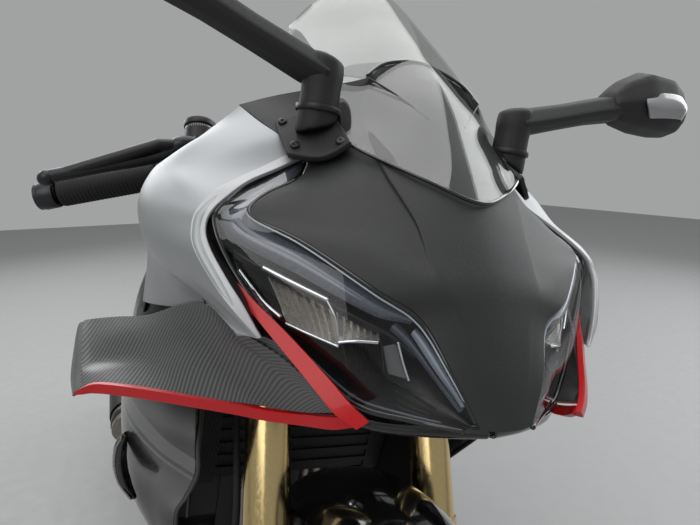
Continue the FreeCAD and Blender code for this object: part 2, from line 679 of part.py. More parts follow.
WALL = size("cowl_thickness")
NOSE_INWARD = Vector(0, 0.89, -0.45)
NOSE_SEAT = Vector(0, -672, 935.5)
NOSE_BOSS = 22
STAY_BAR_Y, STAY_BAR_Z = -612, 806
INSTRUMENT_FOOT_Z = 944
STAND_PIVOT = Vector(size("stand_pivot_x"), size("stand_pivot_y"), size("stand_pivot_z"))
STAND_FOOT = Vector(size("stand_foot_x"), size("stand_foot_y"), size("stand_foot_x") * TAN_LEAN)
STAND_DOWN = (STAND_FOOT - STAND_PIVOT).normalize()
STAND_UP = Vector(0.25, 0.96, 0.1).normalize()
STAND_AXIS = STAND_DOWN.cross(STAND_UP).normalize()
STAND_EYE_HALF = size("stand_leg_radius") + 1
GROUND_NORMAL = Vector(-math.sin(math.radians(LEAN)), 0, COS_LEAN)


RADIATOR = Placement(Vector(0, -372, 470), Rotation(Vector(1, 0, 0), 6))
RADIATOR_PIN = 134


def radiator_hanger():
    """A grommet boss over the pin on one radiator tank, on an arm from the spar."""
    middle = RADIATOR.multVec(Vector(RADIATOR_PIN, 11, 268))
    up = RADIATOR.Rotation.multVec(Vector(0, 0, 1))
    boss = rod("grommet_boss", middle - up * 9, middle + up * 9, "11")
    arm = rod("grommet_arm", middle, Vector(70, -330, 776), "7")
    hole = rod("grommet_hole", middle - up * 30, middle + up * 30, "5 + Sizes.fit_gap")
    return cut("radiator_hanger", fuse("radiator_hanger_outer", [boss, arm]), hole)


def front_stay():
    """The stay ahead of the head tube that carries lamps, nose and instruments."""
    level = (size("lower_clamp_level") + size("upper_clamp_level")) / 2
    root, knee = in_bike(0, -size("head_tube_radius") + 6, level), in_bike(0, -118, level)
    bar = Vector(0, STAY_BAR_Y, STAY_BAR_Z)
    joints = [solid("Part::Sphere", f"stay_joint_{index}", {"Radius": "11"}, Placement(at, Rotation()))
              for index, at in enumerate((knee, bar))]
    post_foot = knee + (bar - knee) * 0.1
    post = rod("instrument_post", post_foot, Vector(0, post_foot.y, INSTRUMENT_FOOT_Z - FIT), "8")
    pad_face = NOSE_SEAT + NOSE_INWARD * (WALL + NOSE_BOSS + FIT)
    pad = rod("nose_pad", pad_face, pad_face + NOSE_INWARD * 14, "9")
    nose_post = rod("nose_post", bar, pad_face + NOSE_INWARD * 10, "8")
    cross = rod("lamp_bar", bar - Vector(86, 0, 0), bar + Vector(86, 0, 0), "10")
    return fuse("front_stay", [rod("stay_root", root, knee, "11"), rod("stay_arm", knee, bar, "11"), cross, post,
                               pad, nose_post] + joints)


def stand_bracket():
    far = STAND_PIVOT - STAND_AXIS * (STAND_EYE_HALF + 11)
    pin = rod("stand_pin", far, STAND_PIVOT + STAND_AXIS * (STAND_EYE_HALF + 4), "8")
    plate = rod("stand_cheek", far, STAND_PIVOT - STAND_AXIS * (STAND_EYE_HALF + 0.3), "19")
    elbow = far + STAND_AXIS.cross(Vector(0, 1, 0)).normalize() * 23
    arm = rod("stand_arm", far, elbow, "8")
    bend = solid("Part::Sphere", "stand_arm_bend", {"Radius": "8"}, Placement(elbow, Rotation()))
    rise = rod("stand_arm_rise", elbow, Vector(PLATE_IN + 10, 88, 352), "8")
    return fuse("stand_bracket", [pin, plate, arm, bend, rise])


STAY_LOW, STAY_HIGH = Vector(PLATE_IN + 12, 130, 460), Vector(80, 440, 738)
HEAD_HALF = 92


def spar():
    rows = ((-380, 22, 58, 775, 866), (-250, 96, 124, 712, 826), (-60, PLATE_IN, PLATE_OUT, 610, 724),
            (60, PLATE_IN, PLATE_OUT, 480, 640), (150, PLATE_IN, PLATE_OUT, 340, 470))
    return loft([[(inner, y, low), (outer, y, low), (outer, y, high), (inner, y, high)]
                 for y, inner, outer, low, high in rows])


def frame_side():
    side_spar = formed("spar", spar())
    plate = block("pivot_plate", Vector(PLATE_IN, 20, 330), Vector(PLATE_OUT, 150, 520))
    rail = rod("seat_rail", Vector(PLATE_IN + 10, 70, 600), Vector(72, 520, 768), "13")
    stay = rod("seat_stay", STAY_LOW, STAY_HIGH, "Sizes.stay_radius")
    tail = rod("tail_rail", Vector(72, 515, 767), Vector(50, 740, 838), "12")
    tank_post = rod("tank_post", Vector(112, -200, 780), Vector(112, -200, 833.5), "9")
    seat_post = rod("seat_post", Vector(90, 300, 686), Vector(90, 300, 775.6), "7")
    pillion_post = rod("pillion_post", Vector(60, 480, 753), Vector(60, 480, 861.5), "7")
    head_lug = rod("head_lug", Vector(112, -200, 696), Vector(HEAD_HALF + FIT, -200, 696), "9")
    fairing_stay = rod("fairing_stay", Vector(125, -200, 700), Vector(189.6, -200, 700), "7")
    return fuse("frame_side", [side_spar, plate, rail, stay, tail, tank_post, seat_post, pillion_post, head_lug,
                               fairing_stay, radiator_hanger()])


def frame():
    head_low, head_high = size("lower_clamp_level") + size("clamp_thickness") / 2 + size("side_gap"), \
        size("upper_clamp_level") - size("clamp_thickness") / 2 - size("side_gap")
    head = rod("head_tube", in_bike(0, 0, head_low), in_bike(0, 0, head_high), "Sizes.head_tube_radius")
    web = block("head_web", Vector(-40, -384, 790), Vector(40, -352, 850))
    side = frame_side()
    upper_cross = rod("upper_cross", Vector(-PLATE_IN - 5, 100, 600), Vector(PLATE_IN + 5, 100, 600), "20")
    seat_cross = rod("seat_cross", Vector(-84, 480, 753), Vector(84, 480, 753), "10")
    tail_cross = rod("tail_cross", Vector(-52, 735, 836), Vector(52, 735, 836), "10")
    tail_post = rod("tail_post", Vector(0, 735, 836), Vector(0, 735, 851.6), "8")
    bolt = rod("pivot_bolt", Vector(-PLATE_OUT - 6, PIVOT.y, PIVOT.z), Vector(PLATE_OUT + 6, PIVOT.y, PIVOT.z),
               "Sizes.pivot_bolt_radius")
    outer = fuse("frame_outer", [head, web, side, mirrored("frame_side_right", side), upper_cross,
                                 seat_cross, tail_cross, tail_post, bolt, stand_bracket(), front_stay()])
    bore = rod("head_bore", in_bike(0, 0, head_low - 20), in_bike(0, 0, head_high + 20),
               "Sizes.stem_radius + Sizes.running_gap")
    return cut("frame", outer, bore)


node("frame", frame())


# Engine: one plain twin-cylinder block with its side covers and gearbox sprocket.

def prism(name, corners, half_width):
    """A side outline (y, z) pushed out to both sides."""
    face = Part.Face(Part.makePolygon([Vector(-half_width, y, z) for y, z in corners + corners[:1]]))
    return formed(name, face.extrude(Vector(2 * half_width, 0, 0)))


def engine():
    case = prism("crankcase", [(-262, 300), (-262, 430), (-214, 470), (-40, 480), (20, 440), (64, 428), (64, 330),
                               (0, 270), (-230, 262)], 84)
    sump = prism("sump", [(-236, 290), (-40, 290), (-60, 222), (-220, 218)], 62)
    wide = prism("crank_middle", [(-256, 330), (-256, 424), (-210, 462), (-60, 470), (-44, 330), (-120, 286),
                                  (-220, 286)], 148)
    barrels = prism("cylinders", [(-236, 440), (-262, 620), (-100, 640), (-62, 470)], 100)
    head = prism("cylinder_head", [(-268, 616), (-272, 690), (-246, 706), (-120, 706), (-100, 640)], HEAD_HALF)
    covers = []
    for name, side, y, z, radius in (("alternator_cover", 1, -170, 380, 64), ("clutch_cover", -1, -124, 384, 74)):
        covers.append(rod(name, Vector(side * 140, y, z), Vector(side * 170, y, z), str(radius)))
    sprocket_y, sprocket_z = size("front_sprocket_y"), size("front_sprocket_z")
    pitch = "Sizes.chain_pitch / (2 * sin(180 deg / Sizes.front_sprocket_teeth))"
    gear = rod("gearbox_sprocket", Vector(80, sprocket_y, sprocket_z),
               Vector(size("chain_line") + 8, sprocket_y, sprocket_z),
               f"{pitch} - Sizes.chain_height / 2 - Sizes.fit_gap")
    return fuse("engine", [case, sump, wide, barrels, head, gear] + covers)


node("engine", engine())


# Radiator: a leaning core between two side tanks, with a fan ring behind.

def radiator():
    core = block("radiator_core", Vector(-120, 0, 0), Vector(120, 22, 250))
    tanks = [block(f"radiator_tank_{side}", Vector(side * RADIATOR_PIN - 15, -3, -6),
                   Vector(side * RADIATOR_PIN + 15, 25, 256))
             for side in (-1, 1)]
    fins = []
    for index in range(12):
        level = 10 + index * 20
        fins.append(block(f"radiator_fin_{index}", Vector(-119, -3, level), Vector(119, 1, level + 8)))
    fan = rod("fan_ring", Vector(0, 22, 125), Vector(0, 34, 125), "88")
    pins = [rod(f"radiator_pin_{side}", Vector(side * RADIATOR_PIN, 11, 250), Vector(side * RADIATOR_PIN, 11, 282),
                "5") for side in (-1, 1)]
    return fuse("radiator", [core, fan] + tanks + fins + pins)


node("radiator", radiator(), RADIATOR)


# Exhaust: two front pipes into a collector under the engine, a link pipe and a short can at right.

def exhaust():
    pipes = []
    for index, side in enumerate((-1, 1)):
        x = side * 52
        path = [(x, -271.5, 650), (x, -318, 650), (x, -322, 420), (x * 0.7 - 8, -290, 200), (x * 0.5 - 16, -190, 176)]
        pipes.append(formed(f"front_pipe_{index}", bent_tube(path, 45, 19)))
    collector = loft([[(-16 - half, y, z - 20), (-16 + half, y, z - 20), (-16 + half, y, z + 20),
                       (-16 - half, y, z + 20)] for y, half, z in ((-195, 50, 176), (-60, 34, 176), (-40, 26, 176))])
    link = bent_tube([(-16, -50, 176), (-30, 40, 176), (-150, 120, 206), (-202, 246, 254)], 45, 24)
    start, finish = Vector(-200, 230, 248), Vector(-222, 520, 358)
    can = rod("muffler_can", start, finish, "58")
    run = (finish - start).normalize()
    cone = doc.addObject("Part::Cone", "muffler_cone")
    cone.Radius1, cone.Radius2, cone.Height = 58, 34, 36
    cone.Placement = Placement(finish, Rotation(Vector(0, 0, 1), run))
    outlet = rod("muffler_bore", finish - run * 20, finish + run * 60, "22")
    whole = fuse("exhaust_outer", pipes + [formed("collector", collector), formed("link_pipe", link), can, cone])
    return cut("exhaust", whole, outlet)


node("exhaust", exhaust())


# Swingarm: pivot tube, cross box and two beams to the axle, with the rear axle and its spacers.

def swingarm_beam():
    inner, outer = size("arm_inner"), size("arm_inner") + size("arm_width")
    rows = ((PIVOT.y + 20, 60, 92, 378, 422), (320, 94, 134, 334, 398), (420, inner - 4, outer, 322, 388),
            (700, inner, outer, REAR_AXLE.z - 30, REAR_AXLE.z + 30), (740, inner, outer, REAR_AXLE.z - 24,
                                                                     REAR_AXLE.z + 24))
    return formed("arm_beam", loft([[(near, y, low), (far, y, low), (far, y, high), (near, y, high)]
                                    for y, near, far, low, high in rows]))


def swingarm():
    tube = rod("pivot_tube", Vector(-size("pivot_half_length"), PIVOT.y, PIVOT.z),
               Vector(size("pivot_half_length"), PIVOT.y, PIVOT.z), "Sizes.pivot_tube_radius")
    box = block("arm_cross", Vector(-84, PIVOT.y + 16, 372), Vector(84, 322, 424))
    beam = swingarm_beam()
    outer = fuse("swingarm_outer", [tube, box, beam, mirrored("arm_beam_right", beam)])
    pivot_bore = rod("pivot_bore", Vector(-150, PIVOT.y, PIVOT.z), Vector(150, PIVOT.y, PIVOT.z),
                     "Sizes.pivot_bolt_radius + Sizes.running_gap")
    axle_bore = rod("arm_axle_bore", Vector(-200, REAR_AXLE.y, REAR_AXLE.z), Vector(200, REAR_AXLE.y, REAR_AXLE.z),
                    "Sizes.axle_radius + Sizes.running_gap")
    tyre_space = rod("tyre_space", Vector(-97, REAR_AXLE.y, REAR_AXLE.z), Vector(97, REAR_AXLE.y, REAR_AXLE.z),
                     "Sizes.rear_tyre_radius + 14")
    return cut("swingarm_arm", outer, fuse("swingarm_holes", [pivot_bore, axle_bore, tyre_space]))


def rear_axle():
    reach = size("arm_inner") + size("arm_width") + 14
    shaft = rod("rear_axle_shaft", Vector(-reach, REAR_AXLE.y, REAR_AXLE.z),
                Vector(reach, REAR_AXLE.y, REAR_AXLE.z), "Sizes.axle_radius")
    spacers = []
    for name, start in (("left_spacer", size("chain_line") + size("sprocket_thickness") / 2),
                        ("right_spacer", -size("rear_disc_middle") - size("disc_thickness") / 2)):
        side = 1 if start > 0 else -1
        hub_end = side * (size("rear_hub_half_length") + size("side_gap"))
        spacers.append(rod(name, Vector(hub_end, REAR_AXLE.y, REAR_AXLE.z),
                           Vector(side * (size("arm_inner") - FIT), REAR_AXLE.y, REAR_AXLE.z),
                           "Sizes.axle_radius + 7"))
    return fuse("rear_axle", [shaft] + spacers)


node("swingarm", group("swingarm_group", [swingarm(), rear_axle()]))


# Rear shock: a spring over a damper, from the swingarm's cross box to the frame's cross tube.

def shock():
    low, high = Vector(0, 236, 424 + FIT), Vector(0, 142, 598)
    run = (high - low).normalize()
    lower_eye = block("shock_foot", Vector(-14, 222, low.z), Vector(14, 250, low.z + 26))
    damper = rod("shock_damper", low + Vector(0, 0, 12), high, "15")
    seats = [rod(f"shock_seat_{index}", low + run * at, low + run * (at + 8), "34")
             for index, at in enumerate((34, 166))]
    coils = [rod(f"shock_coil_{index}", low + run * (46 + index * 17), low + run * (55 + index * 17), "31")
             for index in range(7)]
    spring_core = rod("shock_core", low + run * 38, low + run * 168, "24")
    top = block("shock_top", Vector(-16, 118, 578), Vector(16, 150, 612))
    cross = rod("shock_cross_space", Vector(-20, 100, 600), Vector(20, 100, 600), "20 + Sizes.fit_gap")
    return cut("rear_shock", fuse("shock_outer", [lower_eye, damper, spring_core, top] + seats + coils), cross)


node("rear_shock", shock())


# Chain: one closed loop of link plates round both sprockets.

def chain_loop(offset):
    """The loop's outline at one distance outside the rollers' pitch line."""
    radii = [value(f"Sizes.chain_pitch / (2 * sin(180 deg / Sizes.{end}_sprocket_teeth))") + offset
             for end in ("front", "rear")]
    centres = [Vector(0, size("front_sprocket_y"), size("front_sprocket_z")), REAR_AXLE]
    span = centres[1] - centres[0]
    run = Vector(span).normalize()
    up = Vector(1, 0, 0).cross(run)
    lift = (radii[0] - radii[1]) / span.Length
    level = math.sqrt(1 - lift * lift)
    spots = []
    for radius, centre in zip(radii, centres):
        spots.append([centre + (run * lift + up * (level * side)) * radius for side in (1, -1)])
    front, rear = spots
    far_front, far_rear = centres[0] - run * radii[0], centres[1] + run * radii[1]
    edges = [Part.LineSegment(front[0], rear[0]).toShape(), Part.Arc(rear[0], far_rear, rear[1]).toShape(),
             Part.LineSegment(rear[1], front[1]).toShape(), Part.Arc(front[1], far_front, front[0]).toShape()]
    return Part.Wire(edges)


def chain():
    half = size("chain_height") / 2
    start = Vector(size("chain_line") - size("chain_width") / 2, 0, 0)
    band = Part.Face(chain_loop(half)).cut(Part.Face(chain_loop(-half)))
    band.translate(start)
    return formed("chain", band.extrude(Vector(size("chain_width"), 0, 0)))


node("chain", chain())


# Rear caliper: hung on the right arm, straddling the rear disc.

def rear_caliper():
    middle = -size("rear_disc_middle")
    block_piece = block("rear_caliper_block", Vector(-size("arm_inner") - 4, 560, 398), Vector(middle + 20, 640, 452))
    strut = block("rear_caliper_strut", Vector(-size("arm_inner") - 18, 570, 366.2),
                  Vector(-size("arm_inner") - 2, 630, 440))
    half_slot = size("disc_thickness") / 2 + size("pad_gap")
    space = rod("rear_caliper_slot", Vector(middle - half_slot, REAR_AXLE.y, REAR_AXLE.z),
                Vector(middle + half_slot, REAR_AXLE.y, REAR_AXLE.z), "Sizes.rear_disc_radius + 4")
    return cut("rear_caliper", fuse("rear_caliper_outer", [block_piece, strut]), space)


node("rear_caliper", rear_caliper())


# Fuel tank: a swelling body over the frame with a raised filler ring and the ears of the cap's hinge.

FILLER = Vector(0, size("filler_y"), size("filler_z"))
HINGE = FILLER + Vector(0, -size("cap_radius") - 5, 2)


def tank():
    rows = ((-322, 50, 872, 84, 896, 78, 930, 44, 948), (-240, 118, 842, 152, 884, 138, 944, 74, 972),
            (-120, 134, 822, 172, 872, 154, 950, 80, 982), (0, 118, 806, 146, 850, 130, 924, 76, 956),
            (90, 92, 784, 108, 822, 100, 872, 60, 900), (128, 76, 778, 88, 806, 82, 840, 52, 862))
    sections = []
    for y, low_x, low_z, side_x, side_z, shoulder_x, shoulder_z, top_x, top_z in rows:
        half = [(low_x, low_z), (side_x, side_z), (shoulder_x, shoulder_z), (top_x, top_z)]
        sections.append(across(y, half))
    body = formed("tank_body", loft(sections))
    ring = rod("filler_ring", FILLER - Vector(0, 0, 46), FILLER, "Sizes.cap_radius + 7")
    ears = [block(f"hinge_ear_{index}", HINGE + Vector(x, -4, -16), HINGE + Vector(x + 6, 4, 4))
            for index, x in enumerate((-17, 11))]
    pin = rod("hinge_pin", HINGE + Vector(-14, 0, 0), HINGE + Vector(14, 0, 0), "2")
    recess = rod("filler_recess", FILLER - Vector(0, 0, size("cap_thickness") + FIT),
                 FILLER + Vector(0, 0, 30), "Sizes.cap_radius + Sizes.side_gap")
    slot = block("hinge_slot", HINGE + Vector(-11, -8, -12), HINGE + Vector(11, 12, 20))
    hollow = rod("filler_neck", FILLER - Vector(0, 0, 60), FILLER, "20")
    return fuse("tank", [cut("tank_cut", fuse("tank_outer", [body, ring]),
                             fuse("tank_spaces", [recess, slot, hollow])), fuse("hinge_fixed", ears + [pin])])


def cap():
    disc_piece = rod("cap_disc", FILLER - Vector(0, 0, size("cap_thickness")), FILLER, "Sizes.cap_radius")
    knuckle = rod("cap_knuckle", HINGE + Vector(-10.5, 0, 0), HINGE + Vector(10.5, 0, 0), "4.5")
    link = block("cap_link", HINGE + Vector(-10.5, 0, -5), HINGE + Vector(10.5, 14, -2))
    bore = rod("cap_bore", HINGE + Vector(-20, 0, 0), HINGE + Vector(20, 0, 0), "2.05")
    return cut("cap", fuse("cap_outer", [disc_piece, knuckle, link]), bore)


node("fuel_tank", tank())
node("fuel_cap", cap())


# Seats: separate rider and pillion cushions.

def cushion(name, rows):
    return formed(name, loft([across(y, [(low_x, low_z), (side_x, side_z), (top_x, top_z)])
                              for y, low_x, low_z, side_x, side_z, top_x, top_z in rows]))


rider = cushion("rider_cushion", ((131, 64, 764, 72, 790, 50, 818), (220, 98, 771, 106, 785, 82, 814),
                                  (330, 96, 779, 106, 794, 90, 820), (430, 84, 790, 92, 812, 78, 848)))
pillion = cushion("pillion_cushion", ((432, 86, 852, 94, 868, 78, 892), (540, 88, 879, 96, 896, 80, 920),
                                      (650, 62, 899, 70, 914, 58, 936), (690, 50, 903, 56, 914, 46, 930)))
node("seats", group("seat_pair", [rider, pillion]))


# Tail: two thin side cowls joined over the rear, the lamp, and the arm for the number plate.

def tail():
    rows = (((108, 250, 694), (124, 250, 718), (128, 250, 744), (122, 250, 758)),
            ((96, 430, 762), (112, 430, 786), (122, 430, 822), (104, 430, 846)),
            ((80, 600, 814), (90, 600, 832), (98, 600, 862), (90, 600, 888)),
            ((54, 760, 860), (60, 760, 872), (64, 760, 888), (57, 760, 904)))
    side = formed("tail_side", skin(rows, (-1, 0, 0), WALL))
    top = formed("tail_top", loft([across(y, [(x, z), (x, z + 6)]) for y, x, z in
                                   ((694, 66, 890), (760, 54, 897))]))
    under = formed("tail_under", loft([across(y, [(x, z), (x, z + 4)]) for y, x, z in
                                       ((500, 85.8, 785), (600, 77, 815), (759.7, 51, 861.4))]))
    return fuse("tail", [side, mirrored("tail_side_right", side), top, under])


node("tail_cowl", tail())
tail_lamp = formed("tail_lamp_shape", loft([across(y, [(x, 852), (x + 4, 868), (x, 894)]) for y, x in
                                                  ((760 + FIT, 46), (776, 38))]))


def plate_arm():
    arm = formed("plate_arm_shape", loft([across(y, [(x, z), (x, z + 14)]) for y, x, z in
                                          ((640, 30, 812), (760, 28, 796), (860, 24, 760), (926, 24, 690))]))
    plate = block("plate_seat", Vector(-60, 922, 575), Vector(60, 927, 704))
    holes = [rod(f"plate_hole_{index}", Vector(x, 910, 640), Vector(x, 940, 640), "3.5")
             for index, x in enumerate((-40, 40))]
    stalks = [rod(f"indicator_stalk_{index}", Vector(0, 870, 762), Vector(side * 92, 870, 768), "6")
              for index, side in enumerate((-1, 1))]
    return cut("plate_bracket", fuse("plate_bracket_outer", [arm, plate] + stalks), fuse("plate_holes", holes))


node("plate_bracket", plate_arm())
indicator = formed("indicator_shape", loft([[(x, 856 - grow, 756 - grow), (x, 884 + grow, 760 - grow),
                                             (x, 884 + grow, 776 + grow), (x, 856 - grow, 780 + grow)]
                                            for x, grow in ((93 + FIT, 0), (120, 4), (140, -2))]))
node("rear_lamps", group("rear_lamp_group", [tail_lamp, indicator, mirrored("indicator_right", indicator)]))


# Nose cowl: the textured centre panel, from the lower lip over the nose and under the screen.

NOSE_ROWS = (((0, -786, 747), (8, -786, 747), (16, -786, 747), (24, -786, 747)),
             ((0, -752, 824), (28, -751, 823), (48, -748, 821), (64, -744, 819)),
             ((0, -704, 905), (60, -692, 902), (116, -676, 887), (171, -660, 870)),
             ((0, -640, 966), (52, -632, 961), (96, -622, 945), (117, -602, 924)),
             ((0, -556, 1022), (52, -552, 1020), (108, -536, 996), (152, -520, 972)))


def both_sides(rows):
    """Rows from the middle to one side, carried over to the other side."""
    return [[(-x, y, z) for x, y, z in reversed(row[1:])] + list(row) for row in rows]


nose = formed("nose_skin", skin(both_sides(NOSE_ROWS), NOSE_INWARD, WALL))
nose_boss = rod("nose_boss", NOSE_SEAT + NOSE_INWARD * 2.4, NOSE_SEAT + NOSE_INWARD * (WALL + NOSE_BOSS), "7")
node("nose_cowl", fuse("nose_cowl_shape", [nose, nose_boss]))


# Headlamps: a dark housing behind each clear lens, in the gap between nose and side panels.

LENS_ROWS = (((31, -776, 748), (70, -738, 815), (166, -655, 862)),
             ((66, -752, 744), (106, -700, 802), (178, -596, 852)),
             ((97, -724, 742), (136, -654, 786), (180, -540, 838)))
lens = formed("lens_shape", skin(LENS_ROWS, (-0.55, 0.8, -0.2), size("lens_thickness")))
node("headlamp_lenses", pair("lens_pair", lens))

HOUSING_SHIFT = Vector(-0.55, 0.8, -0.2).normalize() * (size("lens_thickness") + FIT)


def housing():
    rows = [[tuple(Vector(*point) + HOUSING_SHIFT) for point in row] for row in LENS_ROWS]
    return skin(rows, (-0.55, 0.8, -0.2), 46)


lamp_boss = rod("lamp_boss", Vector(76, -680, STAY_BAR_Z - 4), Vector(76, STAY_BAR_Y - 10 - FIT, STAY_BAR_Z - 4), "8")
node("headlamps", pair("housing_pair", fuse("lamp_housing", [formed("housing_shape", housing()), lamp_boss])))


# Windscreen: a clear bubble standing off the nose, wide at its foot and narrower above.

SCREEN_ROWS = (((0, -708, 905.6), (42, -688, 917.6), (80, -655, 932.4), (92, -640, 939.0), (97, -628, 945.6)),
               ((0, -628, 1000), (40, -608, 1004), (74, -572, 1012), (90, -548, 1016), (98, -528, 1020)),
               ((0, -440, 1140), (30, -436, 1134), (58, -430, 1118), (74, -424, 1100), (84, -418, 1084)))
node("windscreen", formed("screen_shape", skin(both_sides(SCREEN_ROWS), (0, 0.8, -0.6),
                                               size("lens_thickness"))))

# Cockpit: the hooded instrument housing behind the screen, on the nose cowl.

COCKPIT_ROWS = (((0, -555.6, 1024.6), (24, -554.6, 1024.2), (48, -552, 1022.8), (60, -548.6, 1020)),
                ((0, -512, 1050), (26, -510, 1048), (52, -505, 1040), (66, -498, 1026)))
hood = formed("cockpit_hood_shape", skin(both_sides(COCKPIT_ROWS), (0, 0.5, -0.87), WALL))
node("cockpit_hood", hood)
node("instruments", formed("instrument_shape", loft([
    [(-x, y, z), (x, y, z), (x, y + 14, z + 2), (-x, y + 14, z + 2)]
    for x, y, z in ((78, -540, INSTRUMENT_FOOT_Z), (84, -524, 976), (70, -512, 1008))])))


# Upper side cowls: the satin panels from the lip beside each headlamp round to the flank.

UPPER_ROWS = (((167, -704, 785), (172, -699, 785), (177, -694, 785), (182, -689, 785)),
              ((191, -680, 822), (212, -640, 814), (228, -590, 808), (226, -530, 802)),
              ((206, -655, 853), (238, -608, 850), (254, -556, 848), (250, -486, 843)),
              ((196, -646, 873), (231, -602, 880), (250, -552, 880), (246, -494, 882)),
              ((155, -606, 893), (194, -584, 905), (223, -548, 911), (222, -512, 911)),
              ((121, -600, 925), (138, -572, 940), (155, -548, 953), (170, -524, 966)))
upper = formed("upper_cowl_shape", skin(UPPER_ROWS, (-0.95, 0.2, -0.2), WALL))
node("upper_cowls", pair("upper_cowl_pair", upper))


# Wings: a winglet from each flank, with a bright trim along its front edge and up beside the lamp.

WING_ROWS = (((178, -692, 742), (209, -630, 766), (232.6, -540, 781)),
             ((238, -612, 704), (254, -545, 730), (268, -478, 744)),
             ((292, -518, 667), (298, -466, 690), (301, -418, 710)))
wing = formed("wing_shape", skin(WING_ROWS, (-0.3, 0.1, -0.95), 7))
node("wings", pair("wing_pair", wing))

TRIM_ROWS = (((163, -640, 806), (170, -628, 794)), ((133, -706, 772), (142, -694, 762)),
             ((102, -760, 744), (124, -738, 748)), ((168, -697, 722), (170.6, -703.2, 736.3)),
             ((236, -613, 686), (238.6, -619.3, 700.3)), ((290, -521, 650), (292.4, -525.3, 664.4)))
trim = formed("trim_shape", skin(TRIM_ROWS, (-0.2, 0.95, 0.1), 5))
node("wing_trims", pair("trim_pair", trim))


# Side fairings: a thin wall each side, from the upper cowls down past the engine.

FAIRING_ROWS = (((192, -640, 778), (224, -560, 790), (226, -430, 800), (186, -270, 800)),
                ((190, -610, 690), (246, -500, 690), (238, -350, 690), (190, -170, 690)),
                ((172, -540, 580), (242, -430, 570), (236, -290, 560), (202, -110, 560)),
                ((172, -412, 450), (222, -370, 450), (226, -250, 440), (196, -70, 430)),
                ((156, -330, 330), (178, -300, 330), (188, -180, 325), (180, -20, 320)))
fairing = formed("side_fairing_shape", skin(FAIRING_ROWS, (-1, 0.1, 0), WALL))
node("side_fairing_left", group("fairing_left", [fairing]))
node("side_fairing_right", group("fairing_right", [mirrored("fairing_mirrored", fairing)]))


# Belly pan: a keel under the engine, closed below and open at the back.

BELLY_ROWS = (((155, -328, 327.4), (177, -298, 327.4), (187, -180, 322.4), (179, -20, 317.4)),
              ((120, -318, 230), (148, -286, 230), (160, -160, 225), (150, 10, 222)),
              ((40, -280, 150), (72, -240, 148), (84, -120, 146), (80, 20, 150)),
              ((0, -270, 138), (0, -232, 134), (0, -110, 132), (0, 24, 136)))
belly = formed("belly_side", skin(BELLY_ROWS, (-0.7, 0.1, 0.7), WALL))
node("belly_pan", fuse("belly_pan_shape", [belly, mirrored("belly_side_right", belly)]))


# Mirrors: a foot on the nose, a slender arm and a head with the glass at the back.

def mirror():
    foot = formed("mirror_foot", loft([[(98, -620, 946.2), (126, -620, 917), (126, -572, 951.5), (98, -572, 980.7)],
                                       [(103, -613, 1004), (129, -613, 1004), (129, -575, 1004), (103, -575, 1004)]]))
    arm = formed("mirror_arm", loft([[(x, y - a, z - b), (x, y + a, z - b * 0.4), (x, y + a * 0.6, z + b),
                                      (x, y - a * 0.6, z + b)] for x, y, z, a, b in
                                     ((104, -594, 1002, 16, 12), (180, -590, 1034, 13, 9), (262, -592, 1050, 12, 9))]))
    head = formed("mirror_head", loft([[(x, y, z - b), (x, y + 30, z - b), (x, y + 30, z + b), (x, y, z + b * 0.8)]
                                       for x, y, z, b in ((252, -604, 1062, 22), (300, -612, 1066, 38),
                                                          (360, -604, 1066, 36), (382, -590, 1066, 22))]))
    return fuse("mirror", [foot, arm, head])


node("mirrors", pair("mirror_pair", mirror()))


# Footrests and their hangers, gear lever and brake pedal.

def hanger():
    plate = formed("hanger_plate", loft([[(x, 150 + FIT, 380), (x, 236, 330), (x, 250, 352), (x, 150 + FIT, 450)]
                                         for x in (PLATE_IN + 2, PLATE_IN + 14)]))
    peg = rod("footrest", Vector(PLATE_IN + 8, 226, 342), Vector(PLATE_IN + 92, 226, 346), "11")
    return fuse("hanger", [plate, peg])


def pillion_hanger():
    run = STAY_HIGH - STAY_LOW
    collar = rod("pillion_collar", STAY_LOW + run * 0.60, STAY_LOW + run * 0.70, "17")
    arm = rod("pillion_arm", STAY_LOW + run * 0.65 + Vector(14, 0, 0), Vector(128, 452, 520), "9")
    foot = rod("pillion_rest", Vector(116, 452, 520), Vector(196, 452, 524), "10")
    stay_hole = rod("pillion_collar_hole", STAY_LOW + run * 0.5, STAY_LOW + run * 0.8, "Sizes.stay_radius + Sizes.fit_gap")
    return cut("pillion_hanger", fuse("pillion_hanger_outer", [collar, arm, foot]), stay_hole)


rider_rest, passenger_rest = hanger(), pillion_hanger()
node("footrests", group("footrest_group", [rider_rest, mirrored("hanger_right", rider_rest), passenger_rest,
                                           mirrored("pillion_hanger_right", passenger_rest)]))


def pedal(name, side):
    x = side * (PLATE_OUT + 8)
    arm = rod(name + "_arm", Vector(x, 192, 378), Vector(x, 60, 316), "6")
    boss = rod(name + "_boss", Vector(side * (PLATE_IN + 14 + FIT), 192, 378), Vector(x + side * 9, 192, 378), "10")
    toe = rod(name + "_toe", Vector(x - side * 9, 60, 316), Vector(x + side * 40, 60, 316), "8")
    return fuse(name, [arm, boss, toe])


node("foot_controls", group("pedals", [pedal("gear_lever", 1), pedal("brake_pedal", -1)]))


# Side stand: a leg on the frame's pivot pin, its foot flat on the ground when the bike leans.

